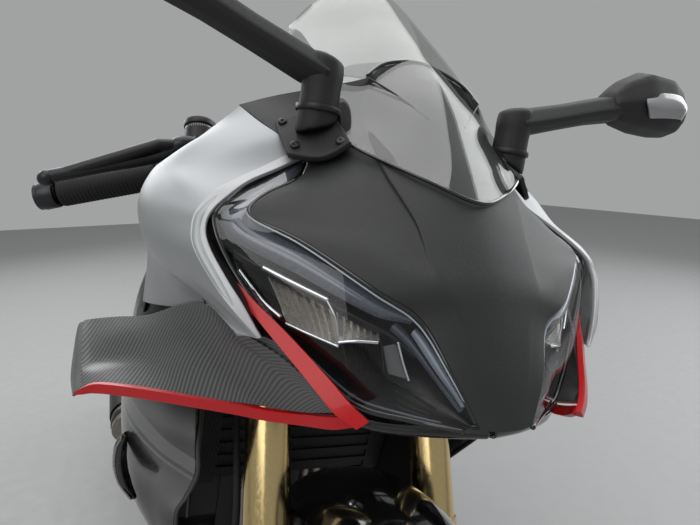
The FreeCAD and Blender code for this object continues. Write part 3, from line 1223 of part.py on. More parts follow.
def stand():
    sole = doc.addObject("Part::Box", "stand_sole")
    sole.Length, sole.Width, sole.Height = 46, 62, size("stand_foot_thickness")
    turn = Rotation(Vector(0, 1, 0), -LEAN)
    sole.Placement = Placement(STAND_FOOT + turn.multVec(Vector(-23, -31, 0)), turn)
    ankle = STAND_FOOT + GROUND_NORMAL * (size("stand_foot_thickness") + 6)
    leg_piece = rod("stand_leg", STAND_PIVOT, ankle, "Sizes.stand_leg_radius")
    heel = rod("stand_heel", STAND_FOOT + GROUND_NORMAL * 2, ankle, "15")
    eye = rod("stand_eye", STAND_PIVOT - STAND_AXIS * STAND_EYE_HALF, STAND_PIVOT + STAND_AXIS * STAND_EYE_HALF, "19")
    bore = rod("stand_bore", STAND_PIVOT - STAND_AXIS * 30, STAND_PIVOT + STAND_AXIS * 30, "8.05")
    return cut("stand", fuse("stand_outer", [leg_piece, sole, heel, eye]), bore)


node("side_stand", stand())


# Each sub-part takes its place and leans with the bike; the origin is under the middle of it all.

def lean_placement(shift=Vector(0, 0, 0)):
    return Placement(shift, Rotation(Vector(0, 1, 0), LEAN))


doc.recompute()
box = FreeCAD.BoundBox()
for name, piece, place in nodes:
    turned_shape = piece.Shape.copy()
    turned_shape.Placement = lean_placement() * place * turned_shape.Placement
    box.add(turned_shape.optimalBoundingBox(False))
PARK = lean_placement(Vector(-box.Center.x, -box.Center.y, 0))
for name, piece, place in nodes:
    piece.Placement = PARK * place * piece.Placement
doc.recompute()

faults = [item.Name for item in doc.Objects if "Invalid" in item.State or "Error" in item.State]
for name, piece, place in nodes:
    if piece.Shape.isNull() or not piece.Shape.isValid() or not piece.Shape.Solids:
        faults.append(name)
if faults:
    raise RuntimeError("not made soundly: " + ", ".join(faults))

for name, piece, place in nodes:
    piece.Shape.exportStep(f"parts/{name}.step")
print(len(nodes), "sub-parts")
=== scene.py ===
"""Looks of the sport bike: smooth panels, lamps, weave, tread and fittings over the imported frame."""
import bmesh
import bpy
import json
import math
import numpy as np
from mathutils import Matrix, Vector


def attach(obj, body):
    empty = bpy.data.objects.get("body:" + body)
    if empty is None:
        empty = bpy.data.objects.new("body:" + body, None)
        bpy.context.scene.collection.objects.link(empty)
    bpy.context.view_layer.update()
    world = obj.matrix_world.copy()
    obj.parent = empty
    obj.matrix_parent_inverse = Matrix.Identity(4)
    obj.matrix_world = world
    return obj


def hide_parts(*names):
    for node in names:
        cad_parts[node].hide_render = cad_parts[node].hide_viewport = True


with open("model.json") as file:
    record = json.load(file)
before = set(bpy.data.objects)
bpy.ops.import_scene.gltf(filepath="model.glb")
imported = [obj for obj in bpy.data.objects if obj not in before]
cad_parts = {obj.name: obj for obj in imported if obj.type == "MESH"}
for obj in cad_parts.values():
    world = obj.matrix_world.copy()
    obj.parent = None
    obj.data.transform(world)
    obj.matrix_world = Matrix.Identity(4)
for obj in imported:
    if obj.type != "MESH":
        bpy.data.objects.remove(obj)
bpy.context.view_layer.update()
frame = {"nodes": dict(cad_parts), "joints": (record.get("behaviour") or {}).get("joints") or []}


# Places. The bike was drawn upright in millimetres; PARK leans it onto its stand in the world's metres.
# Points in every table below are (across, along, up) on the upright bike, for its left side; SIDES asks for both.
SIDES = (1, -1)
LEAN = math.radians(10)
FRONT_AXLE = Vector((0, -700, 300.925))
REAR_AXLE = Vector((0, 700, 316.47))
JOINTS = {joint["name"]: joint for joint in frame["joints"]}
TURN = Matrix.Rotation(LEAN, 4, "Y")
PARK = (Matrix.Translation(Vector(JOINTS["front_wheel_spin"]["pos_m"]) - TURN @ (FRONT_AXLE * 0.001))
        @ TURN @ Matrix.Scale(0.001, 4))


# Shader values. Wire wraps a socket, so that node maths reads as a formula; Shade holds one material.
class Wire:
    def __init__(self, shade, socket):
        self.shade, self.socket = shade, socket

    def op(self, kind, other=0.0, swap=False):
        first, second = (other, self) if swap else (self, other)
        return self.shade.add("ShaderNodeMath", {0: first, 1: second}, operation=kind)

    def __add__(self, other): return self.op("ADD", other)
    def __radd__(self, other): return self.op("ADD", other, True)
    def __sub__(self, other): return self.op("SUBTRACT", other)
    def __rsub__(self, other): return self.op("SUBTRACT", other, True)
    def __mul__(self, other): return self.op("MULTIPLY", other)
    def __truediv__(self, other): return self.op("DIVIDE", other)

    def between(self, low, high, start=0.0, stop=1.0):
        """The value taken from low..high to start..stop, clamped."""
        return self.shade.add("ShaderNodeMapRange", {0: self, 1: low, 2: high, 3: start, 4: stop})


class Shade:
    def __init__(self, name, colour, roughness=0.5, metallic=0.0, **inputs):
        self.material = bpy.data.materials.new(name)
        self.material.use_nodes = True
        self.tree = self.material.node_tree
        self.base = self.tree.nodes["Principled BSDF"]
        self.set(Base_Color=(*colour, 1.0), Roughness=roughness, Metallic=metallic, **inputs)
        where = self.tree.nodes.new("ShaderNodeTexCoord")
        self.place, self.map = Wire(self, where.outputs["Object"]), Wire(self, where.outputs["UV"])

    def feed(self, socket, given):
        if isinstance(given, Wire):
            self.tree.links.new(given.socket, socket)
        else:
            socket.default_value = given

    def add(self, kind, inputs=None, out=0, **settings):
        node = self.tree.nodes.new(kind)
        for key, setting in settings.items():
            setattr(node, key, setting)
        for key, given in (inputs or {}).items():
            self.feed(node.inputs[key], given)
        return Wire(self, node.outputs[out])

    def set(self, **inputs):
        for key, given in inputs.items():
            self.feed(self.base.inputs[key.replace("_", " ")], given)
        return self

    def noise(self, scale, detail, stretch=None):
        where = self.place
        if stretch:
            where = self.add("ShaderNodeMapping", {"Vector": where, "Scale": stretch})
        return self.add("ShaderNodeTexNoise", {"Vector": where, "Scale": scale, "Detail": detail})

    def blend(self, factor, first, second):
        colours = [c if isinstance(c, Wire) else (*c, 1.0) for c in (first, second)]
        return self.add("ShaderNodeMix", {0: factor, 6: colours[0], 7: colours[1]}, out=2, data_type="RGBA")

    def bump(self, height, strength=0.2, distance=0.001):
        ruffle = {"Height": height, "Strength": strength, "Distance": distance}
        return self.set(Normal=self.add("ShaderNodeBump", ruffle))

    def axes(self, where=None):
        node = self.tree.nodes.new("ShaderNodeSeparateXYZ")
        self.feed(node.inputs[0], where or self.place)
        return [Wire(self, socket) for socket in node.outputs]


def plain(name, colour, roughness, metallic=0.0, grain=900, depth=0.05, spread=0.25, **inputs):
    """A finish with fine grain in its colour, its roughness and its surface."""
    shade = Shade(name, colour, roughness, metallic, **inputs)
    fine, broad = shade.noise(grain, 2), shade.noise(14, 4)
    darker = tuple(c * (1 - spread) for c in colour)
    smoothest, roughest = max(roughness - 0.06, 0.02), min(roughness + 0.06, 1.0)
    shade.set(Base_Color=shade.blend(broad.between(0.3, 0.75), darker, colour),
              Roughness=fine.between(0.3, 0.7, smoothest, roughest))
    shade.bump(fine, depth)
    return shade


NOSE_GREY = plain("nose_grey", (0.020, 0.0205, 0.0215), 0.50, grain=1500, depth=0.30, spread=0.10)
SILVER = plain("satin_silver", (0.43, 0.445, 0.46), 0.46, 0.68, grain=2600, depth=0.03, spread=0.05)
# The lip is the same satin silver made lighter: a painted highlight along the bevel.
SILVER_LIP_PAINTED_HIGHLIGHT = plain("lip_painted_highlight", (0.55, 0.55, 0.565), 0.48, 0.5, grain=2600, depth=0.03, spread=0.04)
BRIGHT = plain("plated_reflector", (0.86, 0.87, 0.88), 0.14, 0.9, grain=300, depth=0.03, spread=0.03)
PLEAT = plain("pleated_plating", (0.62, 0.60, 0.57), 0.22, 0.75, grain=300, depth=0.03, spread=0.04)
LAMP_BLACK = plain("lamp_black", (0.006, 0.006, 0.007), 0.42, grain=400, depth=0.02, spread=0.05)
BRIGHT_GREY = plain("lamp_plate_grey", (0.16, 0.165, 0.17), 0.4, 0.5, grain=500, depth=0.05, spread=0.05)
PALE_GUIDE = plain("pale_guide", (0.40, 0.45, 0.52), 0.2, grain=260, depth=0.02, spread=0.12, Coat_Weight=1.0)
RED = plain("gloss_red", (0.58, 0.002, 0.007), 0.34, grain=500, depth=0.01, spread=0.06, Coat_Weight=0.3,
            Specular_IOR_Level=0.35)
GLOSS_BLACK = plain("gloss_black", (0.006, 0.006, 0.007), 0.12, grain=300, depth=0.01, Coat_Weight=1.0)
SATIN_BLACK = plain("satin_black", (0.014, 0.014, 0.015), 0.42, grain=1300, depth=0.12)
MATT_BLACK = plain("moulded_black", (0.018, 0.018, 0.019), 0.62, grain=1100, depth=0.22)
CHROME = plain("chrome", (0.82, 0.83, 0.85), 0.07, 1.0, grain=200, depth=0.0, spread=0.03)
DARK_ALLOY = plain("dark_alloy", (0.055, 0.056, 0.06), 0.38, 0.8, grain=1500, depth=0.08)
CAST_ALLOY = plain("cast_alloy", (0.10, 0.10, 0.105), 0.52, 0.75, grain=700, depth=0.35)
TANK_GREY = plain("tank_grey", (0.035, 0.036, 0.039), 0.45, 0.35, grain=1800, depth=0.06, spread=0.1)
RUBBER = plain("rubber", (0.012, 0.012, 0.012), 0.75, grain=800, depth=0.3)
SEAT_COVER = plain("seat_cover", (0.018, 0.018, 0.019), 0.55, grain=620, depth=0.6)
AMBER = plain("amber_lens", (0.75, 0.22, 0.01), 0.12, grain=300, depth=0.02, Coat_Weight=1.0)
RED_LENS = plain("red_lens", (0.35, 0.004, 0.006), 0.1, grain=300, depth=0.02, Coat_Weight=1.0)


def streaked(name, colour, roughness, stretch, metallic=1.0, contrast=0.35):
    """Metal drawn or turned one way: noise pulled out along the grain."""
    shade = Shade(name, colour, roughness, metallic)
    lines = shade.noise(1.0, 4, stretch=stretch)
    darker = tuple(c * (1 - contrast) for c in colour)
    shade.set(Base_Color=shade.blend(lines.between(0.3, 0.7), darker, colour),
              Roughness=lines.between(0.3, 0.7, roughness * 0.7, roughness * 1.3))
    return shade.bump(lines, 0.05)


GOLD = streaked("gold_tubes", (0.72, 0.55, 0.27), 0.2, (420, 420, 20), contrast=0.12)
STEEL = streaked("brushed_steel", (0.46, 0.46, 0.47), 0.3, (260, 260, 260))
EXHAUST = streaked("exhaust_steel", (0.38, 0.34, 0.30), 0.32, (120, 30, 300))


def weave(name, dark, light, pitch):
    """Carbon twill on a piece's own map, whose units are metres: bands of four that step by one each row."""
    roughness, metallic = 0.3, 0.25
    shade = Shade(name, dark, roughness, metallic, Coat_Weight=0.35, Coat_Roughness=0.2)
    across, along, _ = shade.axes(shade.map)
    column, line = (across / pitch).op("FLOOR"), (along / pitch).op("FLOOR")
    over = ((column + line) / 4.0).op("FRACT").op("LESS_THAN", 0.5)
    ridge_a = (across / pitch).op("FRACT").op("PINGPONG", 0.5) * 2
    ridge_b = (along / pitch).op("FRACT").op("PINGPONG", 0.5) * 2
    height = over * ridge_a + (1 - over) * ridge_b
    # Painted sheen: the upper tows and the ridge crests take the lighter colour.
    painted_sheen = over * 0.75 + height * 0.25
    shade.set(Base_Color=shade.blend(painted_sheen, dark, light), Roughness=roughness + over * 0.14)
    return shade.bump(height, 0.25, 0.0004)


# The second colour is the weave's painted sheen.
CARBON = weave("carbon_weave", (0.040, 0.041, 0.043), (0.150, 0.152, 0.156), 0.0014)


def clear(name, tint, glow, rim):
    """Clear plastic: tinted see-through body with a sharp reflection that grows from glow to rim at grazing angles."""
    roughness = 0.02
    shade = Shade(name, tint, roughness)
    edge = shade.add("ShaderNodeLayerWeight", {"Blend": 0.28}, out=1)
    through = shade.tree.nodes.new("ShaderNodeBsdfTransparent")
    through.inputs[0].default_value = (*tint, 1.0)
    gloss = shade.tree.nodes.new("ShaderNodeBsdfGlossy")
    gloss.inputs["Roughness"].default_value = roughness
    wobble = shade.noise(9, 2).between(0.35, 0.65, 0.85, 1.15)
    share = edge.between(0.0, 1.0, glow, rim) * wobble
    mixed = shade.add("ShaderNodeMixShader", {0: share, 1: Wire(shade, through.outputs[0]),
                                             2: Wire(shade, gloss.outputs[0])})
    shade.tree.links.new(mixed.socket, shade.tree.nodes["Material Output"].inputs["Surface"])
    return shade


LENS = clear("clear_lens", (0.93, 0.94, 0.96), glow=0.03, rim=0.45)
SCREEN = clear("screen_clear", (0.86, 0.87, 0.86), glow=0.03, rim=0.34)
GUIDE = plain("light_guide", (0.12, 0.135, 0.165), 0.30, grain=260, depth=0.02, spread=0.2, Coat_Weight=1.0)
CLEAR_PLASTIC = plain("milky_lens", (0.34, 0.34, 0.36), 0.2, grain=300, depth=0.03, spread=0.15, Coat_Weight=1.0)


# Mesh helpers: tables of points become smooth walls, tubes and turned pieces. Sizes are in millimetres; an edge
# sharper than EDGE_ANGLE is rounded, and a turned end no wider than POINT_RADIUS counts as a point.
MILLIMETRE, EDGE_ANGLE, POINT_RADIUS = 0.001, math.radians(50), 0.01


def spline(points, count):
    """count rows on a smooth line through the given rows."""
    points = np.asarray(points, float)
    padded = np.concatenate([[2 * points[0] - points[1]], points, [2 * points[-1] - points[-2]]])
    rows = []
    for place in np.linspace(0, len(points) - 1, count):
        k = min(int(place), len(points) - 2)
        a, b, c, d = padded[k:k + 4]
        f = place - k
        rows.append(0.5 * (2 * b + (c - a) * f + (2 * a - 5 * b + 4 * c - d) * f * f
                           + (3 * b - a - 3 * c + d) * f ** 3))
    return np.array(rows)


def mesh_object(name, points, faces, shade, uvs=None, smooth=True):
    """One mesh in the world from points on the upright bike; uvs are in metres, one for each point."""
    mesh = bpy.data.meshes.new(name)
    mesh.from_pydata([tuple(point) for point in points], [], faces)
    if uvs is not None:
        layer = mesh.uv_layers.new(name="map")
        for loop in mesh.loops:
            layer.data[loop.index].uv = uvs[loop.vertex_index]
    mesh.transform(PARK)
    mesh.polygons.foreach_set("use_smooth", [smooth] * len(mesh.polygons))
    mesh.materials.append(shade.material)
    item = bpy.data.objects.new(name, mesh)
    bpy.context.scene.collection.objects.link(item)
    return item


def finish_edges(item, wall=0.0, round_off=0.0, levels=0):
    """Gives a surface its wall, rounds its edges and smooths it."""
    if wall:
        solid = item.modifiers.new("wall", "SOLIDIFY")
        solid.thickness, solid.offset, solid.use_even_offset = wall * MILLIMETRE, -1.0, False
    if round_off:
        bevel = item.modifiers.new("edges", "BEVEL")
        bevel.width, bevel.segments, bevel.limit_method = round_off * MILLIMETRE, 2, "ANGLE"
        bevel.angle_limit = EDGE_ANGLE
    if levels:
        smooth = item.modifiers.new("smooth", "SUBSURF")
        smooth.levels = smooth.render_levels = levels
    item.modifiers.new("shading", "WEIGHTED_NORMAL").keep_sharp = True
    return item


def sheet(start, rows, columns, keep):
    """Faces of an open net of points; keep=False faces them the other way."""
    corners = [start + i * columns + j for i in range(rows - 1) for j in range(columns - 1)]
    quads = [(a, a + columns, a + columns + 1, a + 1) for a in corners]
    return quads if keep else [quad[::-1] for quad in quads]


def sleeve(start, rows, columns, keep, ring=False):
    """Faces of rings of points, each joined to the next; ring joins the last to the first as well."""
    quads = []
    for i in range(rows if ring else rows - 1):
        near, far = start + i * columns, start + (i + 1) % rows * columns
        quads += [(near + k, near + (k + 1) % columns, far + (k + 1) % columns, far + k) for k in range(columns)]
    return quads if keep else [quad[::-1] for quad in quads]


def closed_sleeve(start, rows, columns, keep):
    """A sleeve with a face over each end."""
    last = start + (rows - 1) * columns
    ends = [tuple(range(start, start + columns)), tuple(range(last, last + columns))]
    return sleeve(start, rows, columns, keep) + [end[::-1] if keep == (k == 0) else end for k, end in enumerate(ends)]


def on_sides(points, sides, faces_of):
    """Points and faces once for each side asked for; faces_of(start, keep) gives the faces of one."""
    all_points, faces = [], []
    for side in sides:
        faces += faces_of(len(all_points), side > 0)
        all_points += [(x * side, y, z) for x, y, z in points]
    return all_points, faces


def mirrored_line(row):
    """A row from the middle outwards, made whole across the bike."""
    return [(-x, y, z) for x, y, z in reversed(row[1:])] + list(row)


def grid_of(rows, along, across):
    """A table of rows made smooth and denser both ways."""
    inner = np.array([spline(row, across) for row in rows])
    return np.array([spline(inner[:, k], along) for k in range(across)]).transpose(1, 0, 2)


def map_line(base, axis):
    """Metres run along one axis of a grid of points, for its map."""
    steps = np.linalg.norm(np.diff(base, axis=axis), axis=2).mean(axis=1 - axis)
    return np.concatenate([[0], np.cumsum(steps)]) * MILLIMETRE


def panel(name, rows, shade, body="chassis", along=40, across=24, wall=2.6, outward=(0, -1, 0), sides=(1,),
          round_off=0.8, whole=False):
    """A smooth wall through a table of rows; sides (1, -1) makes the mirrored one too."""
    base = grid_of([mirrored_line(row) for row in rows] if whole else rows, along, across)
    run_along, run_across = map_line(base, 0), map_line(base, 1)
    uvs = [(u, v) for v in run_along for u in run_across]
    normal = np.cross(base[-1, 0] - base[0, 0], base[along // 2, -1] - base[along // 2, 0])
    flip = float(np.dot(normal, outward)) < 0
    points, faces = on_sides(base.reshape(-1, 3), sides, lambda start, keep: sheet(start, along, across, flip != keep))
    item = mesh_object(name, points, faces, shade, uvs * len(sides))
    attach(item, body)
    return finish_edges(item, wall, round_off)


def tube(name, points, radius, shade, body="chassis", sides=(1,), count=24, around=12, radii=None):
    """A round bar along a smooth line through the points, with its own radius at each if given."""
    line = spline(points, count)
    share = np.linspace(0, 1, count)
    size_at = np.interp(share, np.linspace(0, 1, len(radii)), radii) if radii else [radius] * count
    ways = np.gradient(line, axis=0)
    ways /= np.linalg.norm(ways, axis=1)[:, None]
    across_way = np.cross(ways[0], (0.13, 0.21, 1.0))
    across_way /= np.linalg.norm(across_way)
    rings = []
    for centre, way, size in zip(line, ways, size_at):
        across_way = across_way - way * np.dot(across_way, way)
        across_way /= np.linalg.norm(across_way)
        up_way = np.cross(way, across_way)
        for k in range(around):
            angle = 2 * math.pi * k / around
            rings.append(centre + (across_way * math.cos(angle) + up_way * math.sin(angle)) * size)
    all_points, faces = on_sides(rings, sides, lambda start, keep: closed_sleeve(start, count, around, keep))
    item = mesh_object(name, all_points, faces, shade)
    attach(item, body)
    return finish_edges(item, 0, min(radius, 3) * 0.3)


def turned(name, profile, centre, axis, shade, body="chassis", steps=48, sides=(1,), ring=False):
    """A profile of (distance along, radius) turned about an axis. A ring closes on itself, and the rest get a face
    over each wide end; the right one of a pair that has a wide end closes inside, from end to end, instead."""
    axis = Vector(axis).normalized()
    u = axis.orthogonal().normalized()
    v = axis.cross(u)
    rings = []
    for along, radius in profile:
        for k in range(steps):
            angle = 2 * math.pi * k / steps
            rings.append(Vector(centre) + axis * along + (u * math.cos(angle) + v * math.sin(angle)) * radius)

    wide_ends = [i for i in (0, len(profile) - 1) if profile[i][1] > POINT_RADIUS]

    def faces_of(start, keep):
        if ring or (wide_ends and not keep):
            return sleeve(start, len(profile), steps, keep, True)
        faces = sleeve(start, len(profile), steps, keep)
        for i in wide_ends:
            end = tuple(range(start + i * steps, start + (i + 1) * steps))
            faces.append(end[::-1] if keep == (i == 0) else end)
        return faces

    item = mesh_object(name, *on_sides(rings, sides, faces_of), shade)
    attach(item, body)
    item.modifiers.new("shading", "WEIGHTED_NORMAL")
    item.data.polygons.foreach_set("use_smooth", [len(face.vertices) == 4 for face in item.data.polygons])
    return item


def lofted(name, sections, shade, body="chassis", sides=(1,), levels=2, crease=0.0):
    """A closed form through section loops of equal length, smoothed by subdivision."""
    points, faces = on_sides([point for section in sections for point in section], sides,
                             lambda start, keep: closed_sleeve(start, len(sections), len(sections[0]), keep))
    item = mesh_object(name, points, faces, shade)
    mesh = item.data
    if crease:
        marks = mesh.attributes.new("crease_edge", "FLOAT", "EDGE")
        marks.data.foreach_set("value", [crease] * len(mesh.edges))
    form = bmesh.new()
    form.from_mesh(mesh)
    bmesh.ops.recalc_face_normals(form, faces=form.faces)
    form.to_mesh(mesh)
    form.free()
    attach(item, body)
    return finish_edges(item, 0, 0, levels)


def shown(names, shade):
    """Gives carried-over nodes a finish."""
    for name in names.split():
        item = frame["nodes"][name]
        item.data.materials.clear()
        item.data.materials.append(shade.material)


# Nose: one textured moulding from the lower tip over the raised centre to the screen, with the lens edges
# cut into its sides. Each row runs from the middle to the edge.
NOSE = (
    ((0, -787, 745), (9, -787, 745.5), (14, -787, 746), (19, -786.5, 747), (24, -786, 748)),
    ((0, -774, 782), (20, -773, 781.5), (28, -772, 781), (35, -771, 781), (42, -770, 781)),
    ((0, -757, 821), (29, -755, 820), (40, -752, 818.5), (50, -749, 816), (60, -745, 814)),
    ((0, -747, 843), (41, -744, 841), (54, -741, 839), (72, -736, 835), (92, -730, 831)),
    ((0, -735, 862), (47, -729, 860), (58, -724, 857.5), (98, -710, 856.5), (140, -690, 857)),
    ((0, -718, 886), (51, -711, 882), (61, -705, 878), (116, -685, 873), (172, -661, 868)),
    ((0, -704, 905), (57, -694, 900), (68, -687, 895), (122, -669, 886), (173, -652, 876)),
    ((0, -686, 924), (63, -676, 917), (74, -669, 912), (118, -656, 900), (158, -641, 888)),
    ((0, -666, 943), (66, -657, 935), (77, -650, 930), (105, -638, 918), (130, -626, 904)),
    ((0, -640, 966), (67, -631, 958), (80, -624, 953), (100, -615, 940), (118, -604, 924)),
    ((0, -606, 998), (60, -600, 989), (79, -594, 981), (110, -580, 962), (141, -572, 943)),
    ((0, -573, 1039), (46, -582, 1026), (70, -590, 1007), (136, -532, 985), (170, -518, 970)))
nose = panel("nose_panel", NOSE, NOSE_GREY, along=72, across=57, outward=(0, -1, 0.4), whole=True)
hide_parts("nose_cowl")


# Side panels: the satin silver cowl beside each lamp, with a bevelled lip. Rows run from the lip to the rear.
SILVER_ROWS = (
    ((166, -704, 784), (169, -702, 783), (172, -699, 783), (176, -695, 783), (182, -689, 783)),
    ((180, -691, 806), (188, -690, 801), (194, -672, 799), (199, -652, 797), (200, -620, 793)),
    ((191, -680, 821), (201, -677, 816), (216, -640, 814), (228, -590, 808), (226, -530, 800)),
    ((204, -664, 842), (216, -659, 839), (233, -618, 833), (246, -566, 828), (243, -500, 822)),
    ((207, -654, 856), (218, -648, 855), (240, -603, 853), (254, -552, 852), (251, -484, 848)),
    ((202, -647, 869), (214, -642, 868), (237, -600, 870), (253, -550, 871), (250, -486, 872)),
    ((189, -636, 882), (201, -630, 883), (228, -594, 887), (245, -549, 890), (243, -498, 893)),
    ((171, -622, 896), (181, -612, 896), (212, -582, 901), (233, -548, 904), (232, -508, 905)),
    ((144, -610, 911), (154, -600, 912), (180, -576, 924), (204, -548, 929), (202, -516, 934)),
    ((117, -600, 927), (125, -592, 931), (140, -576, 942), (156, -552, 954), (170, -524, 968)))
silver = panel("side_panels", SILVER_ROWS, SILVER, along=64, across=33, sides=SIDES,
               outward=(0.9, -0.3, 0.2))
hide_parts("upper_cowls")
LAMP_OUT, LIP_OUT = (0.5, -0.8, 0.2), np.array((0.55, -0.75, 0.25))
lip_rows = []
for edge, second in np.array([row[:2] for row in SILVER_ROWS]):
    rear = edge + ((second - edge) * 0.95 + np.array((-0.6, 0.2, 0.0)))
    lip_rows.append([edge + LIP_OUT * 1.2, rear + LIP_OUT * 1.6])
# The lip's bevel is real; its lighter silver is a painted highlight.
panel("side_panel_lips", lip_rows, SILVER_LIP_PAINTED_HIGHLIGHT, along=64, across=5, wall=3, sides=SIDES, outward=LAMP_OUT)


# Headlamps: INNER_EDGE runs along the nose and OUTER_EDGE along trim and side panel, from the tip to the top.
# at_lamp(s, t, depth) is a point s steps along them, t of the way across and depth behind the lens.
INNER_EDGE = np.array(((24, -785, 748), (42, -769, 781), (60, -744, 814), (92, -729, 831), (140, -689, 857),
                       (172, -659, 868), (174, -650, 876), (159, -638, 888), (131, -623, 904), (119, -602, 921)), float)
OUTER_EDGE = np.array(((30, -782, 743), (64, -758, 742), (97, -738, 744), (127, -716, 764), (158, -689, 791),
                       (186, -664, 826), (201, -650, 856), (197, -641, 872), (162, -610, 901), (120, -598, 925)), float)
LAMP_IN = np.array((-0.52, 0.80, -0.28))
EDGE_STEPS, FINE_STEPS = len(INNER_EDGE) - 1, 120
LAMP_LINES = spline(np.stack([INNER_EDGE, OUTER_EDGE], axis=1), FINE_STEPS + 1)
LENS_BELLY = 9


def at_lamp(s, t, depth):
    """The lens bulges by LENS_BELLY between the edges."""
    k = s / EDGE_STEPS * FINE_STEPS
    low = min(int(k), FINE_STEPS - 1)
    inner, outer = LAMP_LINES[low] + (LAMP_LINES[low + 1] - LAMP_LINES[low]) * (k - low)
    belly = LENS_BELLY * math.sin(math.pi * min(max(t, 0), 1)) * math.sin(math.pi * min(s / 6.5, 1))
    return inner + (outer - inner) * t + LAMP_IN * (depth - belly)


def lamp_rows(steps, shares, depth):
    """A table of lamp points; depth may be a number or a rule of (s, t)."""
    reach = depth if callable(depth) else lambda s, t: depth
    return [[at_lamp(s, t, reach(s, t)) for t in shares] for s in steps]


ALONG_LAMP = np.linspace(0.02, EDGE_STEPS - 0.02, 24)
lens = panel("lamp_lens", lamp_rows(ALONG_LAMP, np.linspace(0.0, 1.0, 7), 0.5), LENS, along=90, across=14,
             wall=0, sides=SIDES, outward=LAMP_OUT, round_off=0)
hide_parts("headlamp_lenses")


def bowl_depth(s, t):
    """Deepest in the middle, shallow at the lamp's tip."""
    across = 36 * math.sin(math.pi * min(max(t, 0.02), 0.98)) ** 0.6
    return 10 + across * min(1.0, 0.25 + math.sin(math.pi * min(s / 7.0, 1)))


bowl = panel("lamp_bowl", lamp_rows(ALONG_LAMP, np.linspace(-0.02, 1.02, 9), bowl_depth), LAMP_BLACK,
             along=90, across=22, wall=1.5, sides=SIDES, outward=LAMP_OUT)
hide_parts("headlamps")


# Light guides: the smoked band under the lens along the nose and round the corner, the paler bar down to the tip,
# the shadow and shelf beside them, and the seams round the lens.
def lamp_band(name, spine, lift, shade):
    """A rounded band through (s, near share, far share), raised in its middle and set lift deep at its sides."""
    rows = []
    for s, near, far in spline(spine, 24):
        shares = np.linspace(near, far, 5)
        rows.append([at_lamp(s, t, lift - 5.0 * math.sin(math.pi * k / 4)) for k, t in enumerate(shares)])
    panel(name, rows, shade, along=80, across=11, wall=3, sides=SIDES, outward=LAMP_OUT, round_off=0.4)


lamp_band("daylight_band", (
    (2.12, 0.03, 0.10), (2.6, 0.05, 0.20), (3.2, 0.07, 0.27), (4.1, 0.09, 0.38),
    (5.0, 0.10, 0.55), (5.6, 0.11, 0.80), (6.2, 0.12, 0.93), (7.0, 0.12, 0.93),
    (8.0, 0.14, 0.92), (8.8, 0.2, 0.9)), 9.5, GUIDE)
lamp_band("daylight_bar", ((0.45, 0.05, 0.20), (0.9, 0.06, 0.20), (1.5, 0.07, 0.20), (2.0, 0.09, 0.17)), 10, PALE_GUIDE)
lamp_band("bar_shadow", ((0.4, 0.20, 0.34), (1.0, 0.20, 0.30), (1.7, 0.19, 0.28), (2.4, 0.16, 0.26)), 15, GUIDE)
lamp_band("lamp_shelf", (
    (1.7, 0.24, 0.33), (2.6, 0.25, 0.36), (3.4, 0.33, 0.44), (4.3, 0.46, 0.60), (4.9, 0.6, 0.78),
    (5.3, 0.74, 0.92)), 20, SATIN_BLACK)
for index, (near, lift) in enumerate(((0.015, 2.0), (0.985, 1.5))):
    tube(f"lens_seam_{index}", [at_lamp(s, near, lift) for s in np.linspace(0.1, 8.9, 26)], 2.4, GLOSS_BLACK,
         sides=SIDES, count=120, around=8)
tube("lens_light_line", [at_lamp(s, 0.06, 1.0) for s in np.linspace(0.1, 6.6, 22)], 0.8, PALE_GUIDE, sides=SIDES,
     count=110, around=6)


# Reflectors: fans of bright upright pleats in two chambers, bright rims, a ribbed block and a plate beside it.
def pleats(name, corners, folds, depth, swing, shade):
    """Flat-sided folds across a four-sided chamber; corners are (s, t) from top left, clockwise."""
    (s0, t0), (s1, t1), (s2, t2), (s3, t3) = corners
    net, steps_down = [], 5
    for k in range(2 * folds + 1):
        across = k / (2 * folds)
        for j in range(steps_down + 1):
            down = j / steps_down
            s = (s0 + (s1 - s0) * across) * (1 - down) + (s3 + (s2 - s3) * across) * down
            t = (t0 + (t1 - t0) * across) * (1 - down) + (t3 + (t2 - t3) * across) * down
            deep = depth - 9 * down * down + (swing if k % 2 else -swing) * (1 - 0.3 * down)
            net.append(at_lamp(s, t, deep))
    points, faces = on_sides(net, SIDES, lambda start, keep: sheet(start, 2 * folds + 1, steps_down + 1, keep))
    item = mesh_object(name, points, faces, shade, smooth=False)
    item.modifiers.new("wall", "SOLIDIFY").thickness = 0.0008
    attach(item, "chassis")


def lamp_rim(name, path, radius, shade, depth):
    """A thin bar through (s, t) points, set depth behind the lens."""
    tube(name, [at_lamp(s, t, depth) for s, t in path], radius, shade, sides=SIDES, count=40, around=8)


pleats("reflector_low_beam", ((4.45, 0.58), (3.42, 0.38), (2.95, 0.66), (3.75, 0.86)), 8, 24, 3.2, PLEAT)
pleats("reflector_high_beam", ((3.30, 0.38), (2.62, 0.32), (2.42, 0.40), (3.00, 0.62)), 6, 22, 3.0, PLEAT)
pleats("reflector_outer", ((5.15, 0.72), (4.55, 0.60), (3.9, 0.86), (4.8, 0.95)), 5, 26, 2.0, SATIN_BLACK)
pleats("ribbed_block", ((2.98, 0.60), (2.38, 0.40), (2.0, 0.60), (2.55, 0.78)), 12, 17, 1.6, SATIN_BLACK)
lamp_rim("low_beam_top", ((4.5, 0.56), (4.0, 0.47), (3.42, 0.365)), 2.4, BRIGHT, 16)
lamp_rim("low_beam_side", ((3.42, 0.38), (3.2, 0.48), (2.94, 0.68)), 1.0, BRIGHT, 14)
lamp_rim("low_beam_foot", ((3.8, 0.87), (3.4, 0.77), (2.94, 0.67)), 1.2, BRIGHT, 14)
